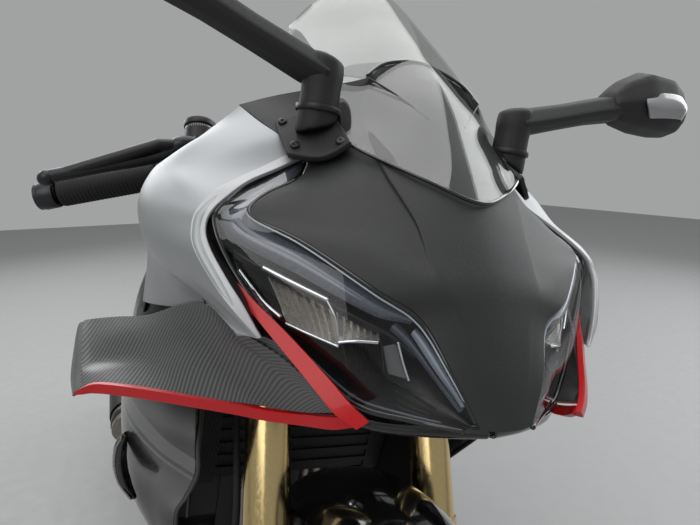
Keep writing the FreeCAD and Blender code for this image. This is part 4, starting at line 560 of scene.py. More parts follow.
lamp_rim("high_beam_foot", ((2.98, 0.64), (2.78, 0.53), (2.42, 0.41)), 1.5, BRIGHT, 12)
lamp_rim("outer_line", ((4.95, 0.93), (4.3, 0.90), (3.9, 0.86)), 1.8, BRIGHT, 12)
lamp_rim("lower_line", ((3.2, 0.95), (2.6, 0.95), (2.0, 0.94), (1.2, 0.93), (0.5, 0.9)), 1.0, GUIDE, 10)
lamp_rim("plate_edge", ((2.12, 0.30), (1.8, 0.42), (1.52, 0.52)), 1.1, BRIGHT, 14)
PLATE_ROWS = (((2.32, 0.42), (2.12, 0.31)), ((2.1, 0.52), (1.82, 0.42)), ((1.92, 0.60), (1.54, 0.52)))
panel("lamp_plate", [[at_lamp(s, t, 19) for s, t in row] for row in PLATE_ROWS], BRIGHT_GREY, along=12, across=6,
      wall=1.5, sides=SIDES, outward=LAMP_OUT)
for index, t in enumerate((0.62, 0.70, 0.78, 0.86)):
    lamp_rim(f"lower_step_{index}", ((1.75 - index * 0.12, t), (1.2, t + 0.02), (0.75, t + 0.03)), 0.9, SATIN_BLACK, 20)


# Screen, its dark edge, and the hooded instruments behind it.
SCREEN_ROWS = (
    ((0, -708, 905.6), (42, -688, 917.6), (80, -655, 932.4), (92, -640, 939), (97, -628, 945.6)),
    ((0, -672, 950), (41, -652, 957), (79, -618, 968), (92, -600, 974), (98, -586, 980)),
    ((0, -628, 1000), (40, -608, 1004), (76, -574, 1012), (93, -552, 1016), (102, -532, 1018)),
    ((0, -545, 1066), (38, -535, 1065), (76, -512, 1063), (96, -494, 1059), (108, -470, 1053)),
    ((0, -474, 1121), (36, -467, 1118), (70, -452, 1109), (92, -438, 1098), (106, -422, 1086)),
    ((0, -428, 1157), (32, -424, 1151), (60, -416, 1139), (80, -408, 1123), (93, -400, 1106)))
screen = panel("clear_screen", SCREEN_ROWS, SCREEN, along=48, across=41, wall=2.4, outward=(0, -0.8, 0.6),
               whole=True)
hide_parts("windscreen")
tube("screen_edge", mirrored_line([(x, y - 0.5, z - 0.5) for x, y, z in SCREEN_ROWS[0]]), 1.7, GLOSS_BLACK,
     count=60, around=8)
HOOD_ROWS = (
    ((0, -573, 1037), (24, -575, 1033), (46, -582, 1024), (64, -588, 1010)),
    ((0, -545, 1045), (25, -543, 1042), (52, -540, 1033), (66, -538, 1020)),
    ((0, -512, 1049), (26, -510, 1047), (53, -505, 1039), (68, -498, 1026)))
hood = panel("instrument_hood", HOOD_ROWS, MATT_BLACK, along=16, across=41, outward=(0, -0.6, 1),
             whole=True)
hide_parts("cockpit_hood")
tube("hood_rim", mirrored_line([(0, -573.5, 1041), (24, -575.5, 1037), (48, -583, 1027), (66, -590, 1011)]), 1.9,
     GLOSS_BLACK, count=60, around=8)
tube("hood_folds_0", [(66, -590, 1010), (43.0, -616.0, 993.5), (20, -640, 975)], 1.0, NOSE_GREY, sides=SIDES, count=12,
     around=8)
panel("instrument_face", [
    [(-62, -506, 1002), (0, -505, 1003), (62, -506, 1002)],
    [(-66, -521, 958), (0, -520, 958), (66, -521, 958)]], GLOSS_BLACK, along=8, across=20,
    wall=3, outward=(0, 1, 0.3))


# Mirrors: a faceted arm and head each on a collared foot and base, the clear indicator in the head's outer front,
# and the glass behind.
ARM = ((112, -597, 1000, 20, 15), (132, -596, 1006, 19, 16), (178, -594, 1021, 17, 15), (222, -592, 1036, 17, 15.5),
       (262, -591, 1048, 18, 17))
HEAD = ((248, -592, 1050, 16, 15), (266, -591, 1056, 22, 27), (300, -591, 1064, 27, 38), (340, -590, 1066, 27, 38),
        (368, -588, 1064, 21, 31), (383, -586, 1062, 12, 19))


def wedge(x, y, z, depth, height):
    """An eight-sided section at x, sharp in front and blunt behind."""
    return [(x, y - depth, z), (x, y - depth * 0.55, z + height * 0.82), (x, y + depth * 0.35, z + height),
            (x, y + depth, z + height * 0.72), (x, y + depth, z - height * 0.6), (x, y + depth * 0.35, z - height),
            (x, y - depth * 0.5, z - height * 0.8), (x, y - depth * 0.9, z - height * 0.35)]


mirror = lofted("mirror_shells", [wedge(*row) for row in ARM], MATT_BLACK, sides=SIDES, crease=0.75)
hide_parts("mirrors")
lofted("mirror_heads", [wedge(*row) for row in HEAD], MATT_BLACK, sides=SIDES, crease=0.55)


def foot_ring(x, z, wide, deep, tilt):
    """Ten-sided ring of a mirror foot, tilted a little."""
    turns = [2 * math.pi * k / 10 for k in range(10)]
    return [(x + wide * math.cos(turn), FOOT_Y + deep * math.sin(turn), z + tilt * math.cos(turn)) for turn in turns]


FOOT_Y = -597
FOOT = ((112, 951, 19, 18, -7), (112, 958, 20, 19, -6), (112, 985, 19, 18, -2), (112, 1000, 20, 19, 1),
        (112, 1013, 19, 18, 3), (113, 1017, 10, 10, 2))
lofted("mirror_feet", [foot_ring(*row) for row in FOOT], MATT_BLACK, sides=SIDES, crease=0.35)
turned("mirror_collars", ((0, 19), (0, 21), (5, 21), (5.6, 19)), (112, FOOT_Y, 966), (0, 0, 1), SATIN_BLACK,
       steps=40, sides=SIDES)
panel("mirror_bases", [
    [(96, -646, 941), (116, -636, 925), (140, -612, 924)],
    [(94, -618, 955), (114, -604, 946), (142, -580, 944)],
    [(98, -585, 975), (118, -570, 968), (142, -556, 957)]], MATT_BLACK, along=14, across=16,
    wall=6, sides=SIDES, outward=(0.3, -0.7, 0.7), round_off=1.5)
for index, (x, y, z) in enumerate(((101, -636, 940), (133, -609, 932), (136, -568, 955))):
    turned(f"mirror_screw_{index}", ((0, 0.01), (0, 4.6), (2, 4.2), (2.4, 2), (1.2, 1.6), (1.2, 0.01)), (x, y, z),
           (0.3, -0.65, 0.7), DARK_ALLOY, steps=18, sides=SIDES)
panel("mirror_glass", [
    [(270, -569.5, 1044), (320, -564, 1036), (366, -569, 1047)],
    [(262, -570, 1060), (320, -563, 1066), (376, -570, 1066)],
    [(270, -570, 1078), (320, -564, 1096), (366, -569, 1085)]], CHROME, along=16,
    across=20, wall=1.5, sides=SIDES, outward=(0, 1, 0))
panel("mirror_indicator", [
    [(286, -612, 1066), (314, -615, 1075), (346, -613, 1078), (374, -598, 1073)],
    [(284, -619, 1055), (316, -621.5, 1062), (350, -619.5, 1065), (381, -595, 1063)],
    [(296, -616, 1041), (322, -619, 1046), (350, -616, 1050), (375, -598, 1052)]], CLEAR_PLASTIC, along=14,
    across=26, wall=2.5, sides=SIDES, outward=(0.1, -1, 0))


# Wings: a folded carbon sheet from the trim's upper leg out to the turned-down end, the end plates, and the inner
# faces and dark backing that close the gap to lamp and side panel.
WING_ROWS = (
    ((113, -748, 745), (119, -744, 748), (124, -742, 751), (127, -740, 754), (129, -738, 757)),
    ((130, -711, 729), (136, -706, 738), (141, -706, 752), (145, -706, 761), (150, -704, 770)),
    ((150, -677, 719), (156, -668, 732), (163, -668, 758), (170, -664, 768), (176, -660, 778)),
    ((171, -649, 711), (178, -628, 727), (182, -620, 748), (186, -620, 770), (194, -610, 784)),
    ((198, -617, 702), (204, -592, 720), (206, -578, 738), (207, -574, 758), (211, -566, 771)),
    ((226, -587, 694), (229, -560, 706), (231, -545, 716), (234, -526, 733), (236, -508, 744)),
    ((254, -560, 686), (256, -532, 695), (257, -515, 702), (260, -494, 719), (262, -470, 731)),
    ((278, -535, 679), (279, -516, 686), (280, -497, 690), (283, -472, 704), (285, -442, 720)),
    ((289, -526, 673), (291, -508, 681), (293, -490, 687), (296, -464, 700), (298, -430, 714)))
wing = panel("carbon_wings", WING_ROWS, CARBON, along=56, across=33, wall=5, sides=SIDES,
             outward=(0.4, -0.3, 0.9), round_off=1.2)
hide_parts("wings")
panel("wing_end_plates", [
    [(289, -526, 673), (293, -490, 686), (298, -430, 713)],
    [(295, -524, 668), (299, -486, 680), (303, -429, 709)],
    [(297, -520, 662), (303, -482, 670), (305, -432, 695)]], CARBON, along=14,
    across=20, wall=3, sides=SIDES, outward=(1, 0, 0))
panel("wing_inner_faces", [
    [(124, -745, 750), (121, -748, 752)], [(142, -711, 760), (133, -728, 768)],
    [(164, -676, 770), (149, -704, 786)], [(182, -650, 780), (164, -680, 804)],
    [(190, -616, 786), (176, -656, 822)], [(196, -590, 792), (186, -632, 840)]], CARBON,
    along=40, across=12, wall=3, sides=SIDES, outward=(0.6, -0.7, 0.3))
gap_rows = []
for row, k in zip(SILVER_ROWS, (3, 4, 5, 6, 6, 7, 8, 8, 8, 9)):
    edge = np.array(row[0])
    gap_rows.append([edge + (-1.5, 5, -1), edge + (-9, 11, -3), OUTER_EDGE[k] + LAMP_IN * 9])
panel("lamp_gaps", gap_rows, LAMP_BLACK, along=50, across=9, wall=2, sides=SIDES, outward=LAMP_OUT)


# Red trims: a glossy V per side, up between lamp and side panel and out along the wing's leading edge.
def strip(name, spine, width_way, widths):
    """A rounded red strip that follows a line, widened to both sides along width_way."""
    steps, thick = 60, 5
    line, way = spline(spine, steps), np.array(width_way, float)
    way /= np.linalg.norm(way)
    spread = np.interp(np.linspace(0, 1, steps), np.linspace(0, 1, len(widths)), widths)
    rows = [[p + way * w * k for k in (-0.5, 0, 0.5)] for p, w in zip(line, spread)]
    return panel(name, rows, RED, along=steps, across=7, wall=thick, sides=SIDES, outward=(0.3, -0.95, 0.1),
                 round_off=thick * 0.3)


trim = strip("red_trims", (
    (296, -522, 665), (288, -529, 671), (276, -538, 677), (251, -562, 684), (225, -590, 691),
    (195, -624, 699), (169, -656, 707), (147, -685, 714), (129, -712, 723), (116, -741, 734),
    (107, -756, 742)), (0.05, -0.2, 0.98), (3, 8, 11, 11, 10.5, 10, 9.7, 9.7, 10, 11, 9))
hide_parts("wing_trims")
strip("red_upper_trims", (
    (104, -762, 742), (116, -753, 750), (127, -741, 761), (141, -723, 775), (158, -702, 791),
    (172, -683, 804), (183, -668, 817), (187, -661, 823)), (0.72, 0.25, -0.62),
    (10, 13, 13, 12, 10, 7, 3, 1))


# Returns: the silver faces under the side panels, down to the wings.
panel("panel_returns", [
    [(201, -616, 795), (219, -580, 803), (236, -540, 812), (244, -496, 822)],
    [(194, -604, 783), (214, -566, 786), (232, -524, 792), (240, -480, 800)],
    [(190, -596, 772), (211, -554, 765), (230, -514, 757), (240, -468, 748)]], SILVER,
    along=16, across=30, wall=2.5, sides=SIDES, outward=(1, -0.6, 0.2))


# Chin: the thin glossy lip under the nose and lamps that turns in below, and the dark ducts beside the forks.
panel("chin_lips", [
    [(3, -772, 741), (40, -764, 739), (80, -747, 736), (110, -730, 738)],
    [(3, -771, 731), (40, -761, 729), (80, -744, 727), (107, -727, 730)],
    [(3, -740, 726), (38, -728, 724), (76, -712, 722), (100, -700, 724)],
    [(3, -700, 724), (36, -690, 722), (70, -676, 720), (92, -664, 720)]],
    GLOSS_BLACK, along=24, across=44, wall=3, sides=SIDES, outward=(0.2, -0.9, -0.3))
panel("duct_walls", [
    [(178, -512, 700), (163, -430, 700)], [(173, -500, 640), (158, -410, 630)],
    [(167, -480, 549), (150, -390, 540)], [(160, -446, 463), (145, -370, 450)]], SATIN_BLACK,
    along=20, across=16, wall=3, sides=SIDES, outward=(-1, -0.4, 0))


# Side fairings: one broad glossy sheet per side with two grey flashes, its front's dark rim and turn fasteners.
FAIRING_ROWS = (
    ((182, -560, 768), (204, -528, 776), (222, -498, 786), (229, -466, 796), (226, -425, 800), (186, -270, 800)),
    ((183, -548, 730), (206, -518, 733), (230, -484, 738), (240, -440, 744), (236, -385, 745), (190, -222, 745)),
    ((189, -606, 690), (216, -568, 690), (245, -500, 690), (247, -424, 690), (238, -350, 690), (191, -170, 690)),
    ((181, -572, 634), (213, -530, 630), (244, -464, 628), (248, -388, 626), (238, -318, 624), (197, -138, 620)),
    ((172, -534, 580), (208, -492, 575), (240, -430, 570), (245, -360, 565), (236, -290, 560), (203, -106, 558)),
    ((171, -474, 514), (202, -440, 512), (232, -396, 510), (238, -334, 505), (230, -268, 500), (200, -90, 494)),
    ((171, -408, 450), (195, -394, 450), (220, -368, 450), (228, -310, 445), (224, -250, 440), (196, -70, 430)),
    ((164, -366, 388), (182, -352, 388), (200, -332, 388), (210, -276, 386), (207, -214, 384), (187, -46, 378)),
    ((156, -328, 331), (167, -316, 331), (177, -298, 331), (187, -246, 329), (188, -180, 326), (180, -22, 321)))


def fairing_paint():
    """Gloss black with two grey flashes that follow the panel's lines."""
    shade = plain("fairing_paint", (0.006, 0.006, 0.007), 0.2, grain=300, depth=0.01, Coat_Weight=0.25,
                  Specular_IOR_Level=0.3)
    across, along, _ = shade.axes(shade.map)
    band = (along + across * 0.75).op("PINGPONG", 10)
    first = band.between(0.226, 0.228) * band.between(0.262, 0.264, 1.0, 0.0)
    second = band.between(0.272, 0.274) * band.between(0.280, 0.282, 1.0, 0.0)
    grey = shade.blend(shade.noise(700, 2).between(0.3, 0.7), (0.10, 0.10, 0.105), (0.13, 0.13, 0.135))
    shade.set(Base_Color=shade.blend(first + second, (0.009, 0.009, 0.010), grey))
    return shade


FAIRING_PAINT = fairing_paint()
for label, side in (("left", 1), ("right", -1)):
    fairing = panel(f"fairing_{label}", FAIRING_ROWS, FAIRING_PAINT, along=80, across=56, wall=2.8,
                    sides=(side,), outward=(side, 0, 0))
    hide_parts(f"side_fairing_{label}")
tube("fairing_front_rims", [
    (180, -561, 766), (181, -549, 730), (185, -590, 690), (179, -573, 634), (170, -535, 580),
    (169, -475, 514), (169, -409, 450), (162, -367, 388), (155, -329, 332)], 3.2, SATIN_BLACK,
     sides=SIDES, count=90, around=10)
for index, (x, y, z) in enumerate(((247.5, -424, 690), (246.5, -360, 567), (229, -310, 446), (199, -160, 560),
                                   (192, -180, 690), (238, -470, 745))):
    turned(f"turn_fastener_{index}", ((-1, 0.01), (-1, 8), (1.2, 7.6), (1.6, 6), (0.8, 2.4), (0.8, 0.01)), (x, y, z),
           (1, -0.15, 0), DARK_ALLOY, steps=20, sides=SIDES)


# The slim deflector, and the clear marker with an amber bulb, set in each side fairing's front.
tube("side_deflectors", [(243, -441, 580), (247, -436, 562), (246, -430, 536), (239, -427, 510), (225, -428, 486)], 7,
     GLOSS_BLACK, sides=SIDES, count=40, around=20, radii=(3, 7.5, 8.5, 8, 3))
tube("deflector_lines", [(247, -447, 578), (252, -442, 561), (251.5, -436, 536), (244.5, -433, 511), (229, -433, 488)],
     1.7, STEEL, sides=SIDES, count=40, around=8)
panel("side_markers", [
    [(214, -556, 662), (232, -520, 668), (247, -480, 664)],
    [(212, -548, 644), (233, -508, 648), (248.5, -462, 646)],
    [(210, -532, 622), (228, -498, 622), (244, -462, 626)]], CLEAR_PLASTIC, along=14,
    across=20, wall=4, sides=SIDES, outward=(1, -0.6, 0), round_off=1.2)
panel("marker_bulbs", [[(218, -540, 652), (232, -512, 655)], [(218, -536, 640), (232, -506, 642)]], AMBER,
      along=4, across=4, wall=9, sides=SIDES, outward=(1, -0.6, 0), round_off=2)


# Belly pan: the sides run down and in to a keel under the exhaust.
BELLY_ROWS = (
    ((155, -328, 327.4), (165, -316, 327.4), (177, -298, 327.4), (187, -180, 322.4), (179, -20, 317.4)),
    ((143, -326, 276), (154, -314, 274), (166, -292, 272), (177, -170, 268), (168, -4, 264)),
    ((121, -317, 230), (134, -306, 229), (148, -286, 229), (160, -160, 225), (150, 10, 221)),
    ((86, -300, 184), (98, -288, 182), (112, -264, 181), (124, -140, 178), (117, 16, 178)),
    ((41, -280, 151), (54, -266, 150), (70, -242, 149), (84, -120, 146), (80, 20, 151)),
    ((14, -273, 141), (18, -258, 140), (24, -236, 139), (28, -112, 136), (26, 23, 140)))
belly = panel("belly_sides", BELLY_ROWS, FAIRING_PAINT, along=60, across=40, wall=2.8, sides=SIDES,
              outward=(1, 0, -0.5))
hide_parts("belly_pan")
KEEL_ROWS = (
    ((-25, -273, 141), (0, -271, 137.5), (25, -273, 141)),
    ((-26, -236, 139.5), (0, -234, 135), (26, -236, 139.5)),
    ((-29, -112, 136.5), (0, -110, 132.5), (29, -112, 136.5)),
    ((-27, 23, 140), (0, 23.5, 136.5), (27, 23, 140)))
panel("belly_keel", KEEL_ROWS, SATIN_BLACK, along=30, across=13, wall=2.8, outward=(0, 0, -1))


# Steering frame: points given about the steering axis (x, ahead is -y, up along the axis).
RAKE, FOOT_OF_AXIS = math.radians(24.5), -797.5
TUBE_X, TUBE_Y, AXLE_Y, AXLE_Z = 103, -36.1, -36.1, 314.25


def on_fork(x, y, z):
    """A point of the steering frame, on the upright bike."""
    return (x, FOOT_OF_AXIS + y * math.cos(RAKE) + z * math.sin(RAKE), -y * math.sin(RAKE) + z * math.cos(RAKE))


def fork_way(x, y, z):
    """A direction given in the steering frame."""
    return Vector(on_fork(x, y, z)) - Vector(on_fork(0, 0, 0))


def fork_sections(*sections):
    """Section loops given in the steering frame."""
    return [[on_fork(x, y, z) for x, y, z in section] for section in sections]


def on_arch(x, radius, angle):
    """A point over the front tyre: angle ahead of the fork's line."""
    a = math.radians(angle)
    return on_fork(x, AXLE_Y - radius * math.sin(a), AXLE_Z + radius * math.cos(a))


FENDER_HALF = ((0, 317), (20, 315.5), (38, 310), (54, 298), (63, 282), (69, 265))
arch = []
for angle in np.linspace(38, -70, 13):
    narrow = 1.0 - 0.30 * max(0.0, (angle - 14) / 24) ** 1.6 - 0.12 * max(0.0, (-50 - angle) / 20)
    arch.append([on_arch(x * narrow, radius + (1 - narrow) * 8, angle) for x, radius in FENDER_HALF])
fender = panel("fender_arch", arch, GLOSS_BLACK, "steering", along=64, across=45, wall=2.8, outward=(0, -0.5, 1),
               whole=True)
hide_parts("front_fender")
cheeks = fork_sections(((66, -56, 512), (66, -16, 512), (66, -12, 590), (66, -52, 590)),
                       ((76, -57, 516), (76, -15, 516), (76, -14, 586), (76, -50, 586)),
                       ((80, -54, 520), (80, -18, 520), (80, -18, 580), (80, -48, 580)))
lofted("fender_cheeks", cheeks, SATIN_BLACK, "steering", sides=SIDES, levels=1, crease=0.6)


def bolt(name, at, way, radius, height, body="chassis", sides=(1,)):
    """A round head with a washer and a socket."""
    profile = ((-0.5, 0.01), (-0.5, radius * 1.35), (0.9, radius * 1.35), (1.0, radius), (height * 0.85, radius),
               (height, radius * 0.86), (height, radius * 0.5), (height * 0.45, radius * 0.46), (height * 0.45, 0.01))
    turned(name, profile, at, way, STEEL, body, steps=18, sides=sides)


# Fork fittings: caliper bolts and bridges, the brake hoses up to the clamps, fork caps, stem nut, clamp bolts.
for index, (y, z) in enumerate(((34, 372), (66, 372), (34, 468), (66, 468))):
    bolt(f"caliper_bolt_{index}", on_fork(117.5, y, z), (1, 0, 0), 4.6, 6, "steering", sides=SIDES)
bridges = fork_sections(((80, 24, 376), (80, 76, 376), (116, 76, 376), (116, 24, 376)),
                        ((80, 22, 420), (80, 80, 420), (119, 80, 420), (119, 22, 420)),
                        ((80, 24, 466), (80, 76, 466), (116, 76, 466), (116, 24, 466)))
lofted("caliper_bridges", bridges, DARK_ALLOY, "steering", sides=SIDES, crease=0.7)
tube("brake_hoses", [
    on_fork(112, 52, 470), on_fork(126, 20, 520), on_fork(128, -6, 600), on_fork(130, -4, 720),
    on_fork(120, -50, 800), on_fork(60, -86, 838)], 4, RUBBER, "steering", sides=SIDES, count=70,
     around=8)
turned("fork_caps", ((0, 0.01), (0, 19), (5, 19), (7, 17), (7, 10), (12, 9.6), (13, 8), (13, 3), (9, 2.6), (9, 0.01)),
       on_fork(TUBE_X, TUBE_Y, 1032), fork_way(0, 0, 1), DARK_ALLOY, "steering", steps=36, sides=SIDES)
turned("stem_nut", ((0, 0.01), (0, 21), (6, 21), (8, 18), (8, 9), (4, 8.5), (4, 0.01)), on_fork(0, 0, 991),
       fork_way(0, 0, 1), STEEL, "steering", steps=6)
for index, (x, y) in enumerate(((137, -36), (72, -20))):
    bolt(f"clamp_bolt_{index}", on_fork(x, y - 26, 846), fork_way(0, -1, 0), 4.5, 6, "steering", sides=SIDES)


# Bars: ribbed grips with end weights, levers, clamps and switches, the brake's clear fluid bottle and the hoses.
BAR_A, BAR_B = Vector((TUBE_X, TUBE_Y, 1009)), Vector((345, 74, 963))
BAR_WAY = fork_way(*(BAR_B - BAR_A))


def on_bar(share, away=(0, 0, 0)):
    """A point some share of the way out along the left bar, moved by away in the steering frame."""
    return on_fork(*(BAR_A + (BAR_B - BAR_A) * share + Vector(away)))


RIB_PITCH = 4.7
ribs = [(0, 16.4), (0, 20), (3, 20.4), (5, 17.4)]
for index in range(24):
    ribs += [(start + index * RIB_PITCH, radius) for start, radius in ((7, 16.0), (8.6, 17.1), (10.6, 17.1))]
ribs += [(123, 16.2)]
grip = turned("ribbed_grips", ribs, on_bar(0.53), BAR_WAY, RUBBER, "steering", steps=32, sides=SIDES)
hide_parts("grips")
turned("bar_ends", ((0, 0.01), (0, 14), (2, 17), (16, 17.5), (21, 15), (22, 8), (20, 7), (20, 0.01)), on_bar(1.0),
       BAR_WAY, DARK_ALLOY, "steering", steps=32, sides=SIDES)
lever_line = [on_bar(0.35, (2, -46, 8)), on_bar(0.35, (26, -45, 6)), on_bar(0.53, (8, -45, 3)),
              on_bar(0.78, (6, -62, -5)), on_bar(0.97, (6, -73, -11))]
tube("levers", lever_line, 7, DARK_ALLOY, "steering", sides=SIDES, count=50, around=14, radii=(8, 9, 8, 7, 7.5))
turned("lever_balls", ((-9, 0.01), (-8, 4.5), (-5, 7.6), (0, 9.4), (5, 7.6), (8, 4.5), (9, 0.01)),
       on_bar(0.985, (6, -73, -12)), BAR_WAY, DARK_ALLOY, "steering", steps=24, sides=SIDES)
turned("bar_clamps", ((0, 12), (0, 20), (2, 21.5), (20, 21.5), (22, 20), (22, 12)), on_bar(0.30), BAR_WAY, SATIN_BLACK,
       "steering", steps=36, sides=SIDES)
POD = ((-24, 10), (-10, 24), (14, 22), (24, 6), (20, -16), (4, -23), (-18, -18))
pods = [[on_bar(share, (0, y * k, z * k)) for y, z in POD]
        for share, k in ((0.405, 0.6), (0.415, 1.0), (0.46, 1.08), (0.51, 1.0), (0.522, 0.6))]
lofted("switch_pods", pods, SATIN_BLACK, "steering", sides=SIDES, crease=0.2)
for index, (share, colour) in enumerate(((0.44, RED), (0.49, GLOSS_BLACK))):
    turned(f"switch_{index}", ((0, 6.5), (4, 6.5), (5.5, 5), (5.5, 0.01)), on_bar(share, (0, 15, 18)),
           fork_way(0, 0.5, 0.8), colour, "steering", steps=20, sides=SIDES)


def right_of(points):
    """The same points on the bike's right."""
    return [(-x, y, z) for x, y, z in points]


cup_foot = right_of([on_bar(0.36, (0, -14, 24))])[0]
for name, profile, shade, steps in (
        ("fluid_bottle", ((0, 0.01), (0, 15), (3, 17.6), (22, 18), (24, 17)), CLEAR_PLASTIC, 40),
        ("bottle_cap", ((24, 19), (25, 19.6), (31, 19.6), (32.5, 18), (32.5, 0.01)), SATIN_BLACK, 24),
        ("bottle_fluid", ((2, 0.01), (2, 15), (16, 16), (16, 0.01)), AMBER, 32)):
    turned(name, profile, cup_foot, fork_way(0, 0, 1), shade, "steering", steps)
tube("bottle_hose", right_of([on_bar(0.36, (0, -18, 26)), on_bar(0.33, (0, -34, 24)), on_bar(0.31, (0, -34, 12))]), 5,
     RUBBER, "steering", count=24, around=10)
turned("master_cylinder", ((0, 0.01), (0, 8), (3, 11), (36, 12.5), (38, 8), (46, 8), (46, 0.01)),
       *right_of([on_bar(0.16, (2, -22, 6)), BAR_WAY]), DARK_ALLOY, "steering", steps=28)
tube("brake_line", right_of([on_bar(0.17, (0, -22, 6)), on_bar(0.06, (0, -40, 14)), on_bar(-0.1, (0, -50, -20)),
                             on_fork(60, -66, 930), on_fork(40, -70, 870)]), 4, RUBBER, "steering", count=50, around=8)
tube("clutch_line", [
    on_bar(0.32, (0, -44, 6)), on_bar(0.18, (0, -52, 18)), on_bar(0.0, (0, -56, 2)),
    on_fork(64, -66, 950), on_fork(40, -62, 880)], 4, RUBBER, "steering", count=50, around=8)
tube("throttle_lines", right_of([on_bar(0.44, (0, -22, 4)), on_bar(0.34, (0, -40, 22)), on_bar(0.16, (0, -42, 22)),
                                 on_bar(0.0, (0, -60, -4)), on_fork(56, -72, 900)]), 3.4, RUBBER, "steering",
     count=50, around=8)


# Tank: a smooth shell with closed ends and knee seams, the filler collar and neck, the hinge ears, and the cap's
# bolts and lock.
TANK_ROWS = (
    ((0, -326, 908), (20, -326, 906), (36, -326, 900), (44, -326, 892), (40, -326, 886)),
    ((0, -320, 949), (44, -320, 947), (77, -320, 929), (84, -320, 897), (50, -320, 872)),
    ((0, -280, 961), (60, -280, 959), (111, -280, 938), (124, -280, 891), (88, -280, 857)),
    ((0, -240, 973), (74, -240, 971), (137, -240, 943), (151, -240, 885), (118, -240, 842)),
    ((0, -180, 979), (79, -180, 977), (148, -180, 947), (165, -180, 878), (129, -180, 831)),
    ((0, -120, 983), (80, -120, 981), (153, -120, 949), (171, -120, 872), (134, -120, 822)),
    ((0, -60, 974), (79, -60, 972), (145, -60, 939), (161, -60, 862), (128, -60, 813)),
    ((0, 0, 958), (76, 0, 955), (129, 0, 923), (146, 0, 851), (118, 0, 806)),
    ((0, 90, 904), (60, 90, 899), (99, 90, 871), (107, 90, 823), (92, 90, 785)),
    ((0, 124, 868), (52, 124, 863), (81, 124, 841), (87, 124, 807), (76, 124, 779)),
    ((0, 129, 838), (26, 129, 836), (40, 129, 824), (44, 129, 808), (38, 129, 794)))
tank = panel("tank_shell", TANK_ROWS, TANK_GREY, along=80, across=57, wall=2, outward=(0, 0, 1), whole=True)
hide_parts("fuel_tank")
CAP_AT, CAP_BOLT_CIRCLE, UPWARD = (0, -150, 989), 38, (0, 0, 1)
turned("filler_collar", ((-13, 44.6), (0, 44.6), (0.6, 46), (0.6, 49), (0, 51), (-12, 52), (-16, 50)), CAP_AT, UPWARD,
       DARK_ALLOY, steps=64)
turned("filler_neck", ((-11.6, 44), (-11.6, 22), (-16, 20), (-16, 0.01)), CAP_AT, UPWARD, SATIN_BLACK)
EAR = ((-203, 975), (-195, 975), (-195, 993), (-199, 995.5), (-203, 993))
for index, x in enumerate((-14, 14)):
    lofted(f"hinge_ear_{index}", [[(x + half, y, z) for y, z in EAR] for half in (-3, 3)], DARK_ALLOY, levels=0)
for index in range(6):
    angle = math.radians(60 * index + 30)
    at = (CAP_BOLT_CIRCLE * math.cos(angle), CAP_AT[1] + CAP_BOLT_CIRCLE * math.sin(angle), CAP_AT[2])
    bolt(f"cap_bolt_{index}", at, UPWARD, 2.6, 2.4, "fuel_cap")
turned("cap_lock", ((0, 18), (1.2, 17.5), (1.2, 6), (0.4, 5.4), (0.4, 0.01)), CAP_AT, UPWARD, STEEL, "fuel_cap",
       steps=40)
SEAM = ((150, -212, 868), (160, -150, 858), (152, -70, 846), (128, 10, 826), (100, 84, 800))
SEAM_TOP = ((153.5, -212, 872), (163.5, -150, 862), (155, -70, 850), (131, 10, 830), (103, 84, 804))
panel("tank_seams", (SEAM, SEAM_TOP), SATIN_BLACK, along=4, across=50, wall=2, sides=SIDES, outward=(1, 0, 0),
      round_off=0.3)


# Seats: two grained cushions with a piped seam round each.
def cushion(name, rows, seam_at):
    """A padded form through (y, half section from low middle to top middle)."""
    sections = []
    for y, low_x, low_z, side_x, side_z, top_x, top_z in rows:
        half = [(low_x * 0.5, low_z), (low_x, low_z), (side_x, side_z), (top_x, top_z), (top_x * 0.5, top_z + 3)]
        sections.append([(x, y, z) for x, z in half] + [(-x, y, z) for x, z in reversed(half)])
    item = lofted(name, sections, SEAT_COVER, crease=0.25)
    line = [(x * 0.998, y, z + 1) for y, x, z in seam_at]
    tube(name + "_piping", line, 2.0, SATIN_BLACK, sides=SIDES, count=60, around=8)
    return item


rider_seat = cushion("rider_seat", (
    (133, 62, 768, 70, 792, 50, 813), (160, 74, 766, 84, 791, 62, 815),
    (220, 98, 770, 108, 787, 85, 813), (330, 98, 778, 108, 796, 93, 820),
    (410, 88, 786, 96, 808, 83, 842), (429, 84, 791, 92, 812, 78, 847)),
    ((150, 78, 790), (220, 104, 787), (330, 104, 795), (420, 92, 810)))
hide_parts("seats")
pillion_seat = cushion("pillion_seat", (
    (433, 84, 853, 92, 869, 78, 889), (470, 87, 862, 96, 880, 80, 904),
    (540, 89, 879, 97, 897, 81, 919), (620, 74, 894, 82, 909, 67, 931),
    (650, 64, 899, 72, 914, 60, 934), (689, 51, 904, 57, 914, 47, 928)),
    ((438, 92, 869), (540, 95, 896), (620, 80, 909), (684, 56, 914)))
SEAT_RAILS = ((140, 66, 764), (220, 96, 768), (330, 94, 776), (425, 83, 787))
tube("seat_base", [(x, y, z) for y, x, z in SEAT_RAILS], 5, SATIN_BLACK, sides=SIDES, count=40, around=10)


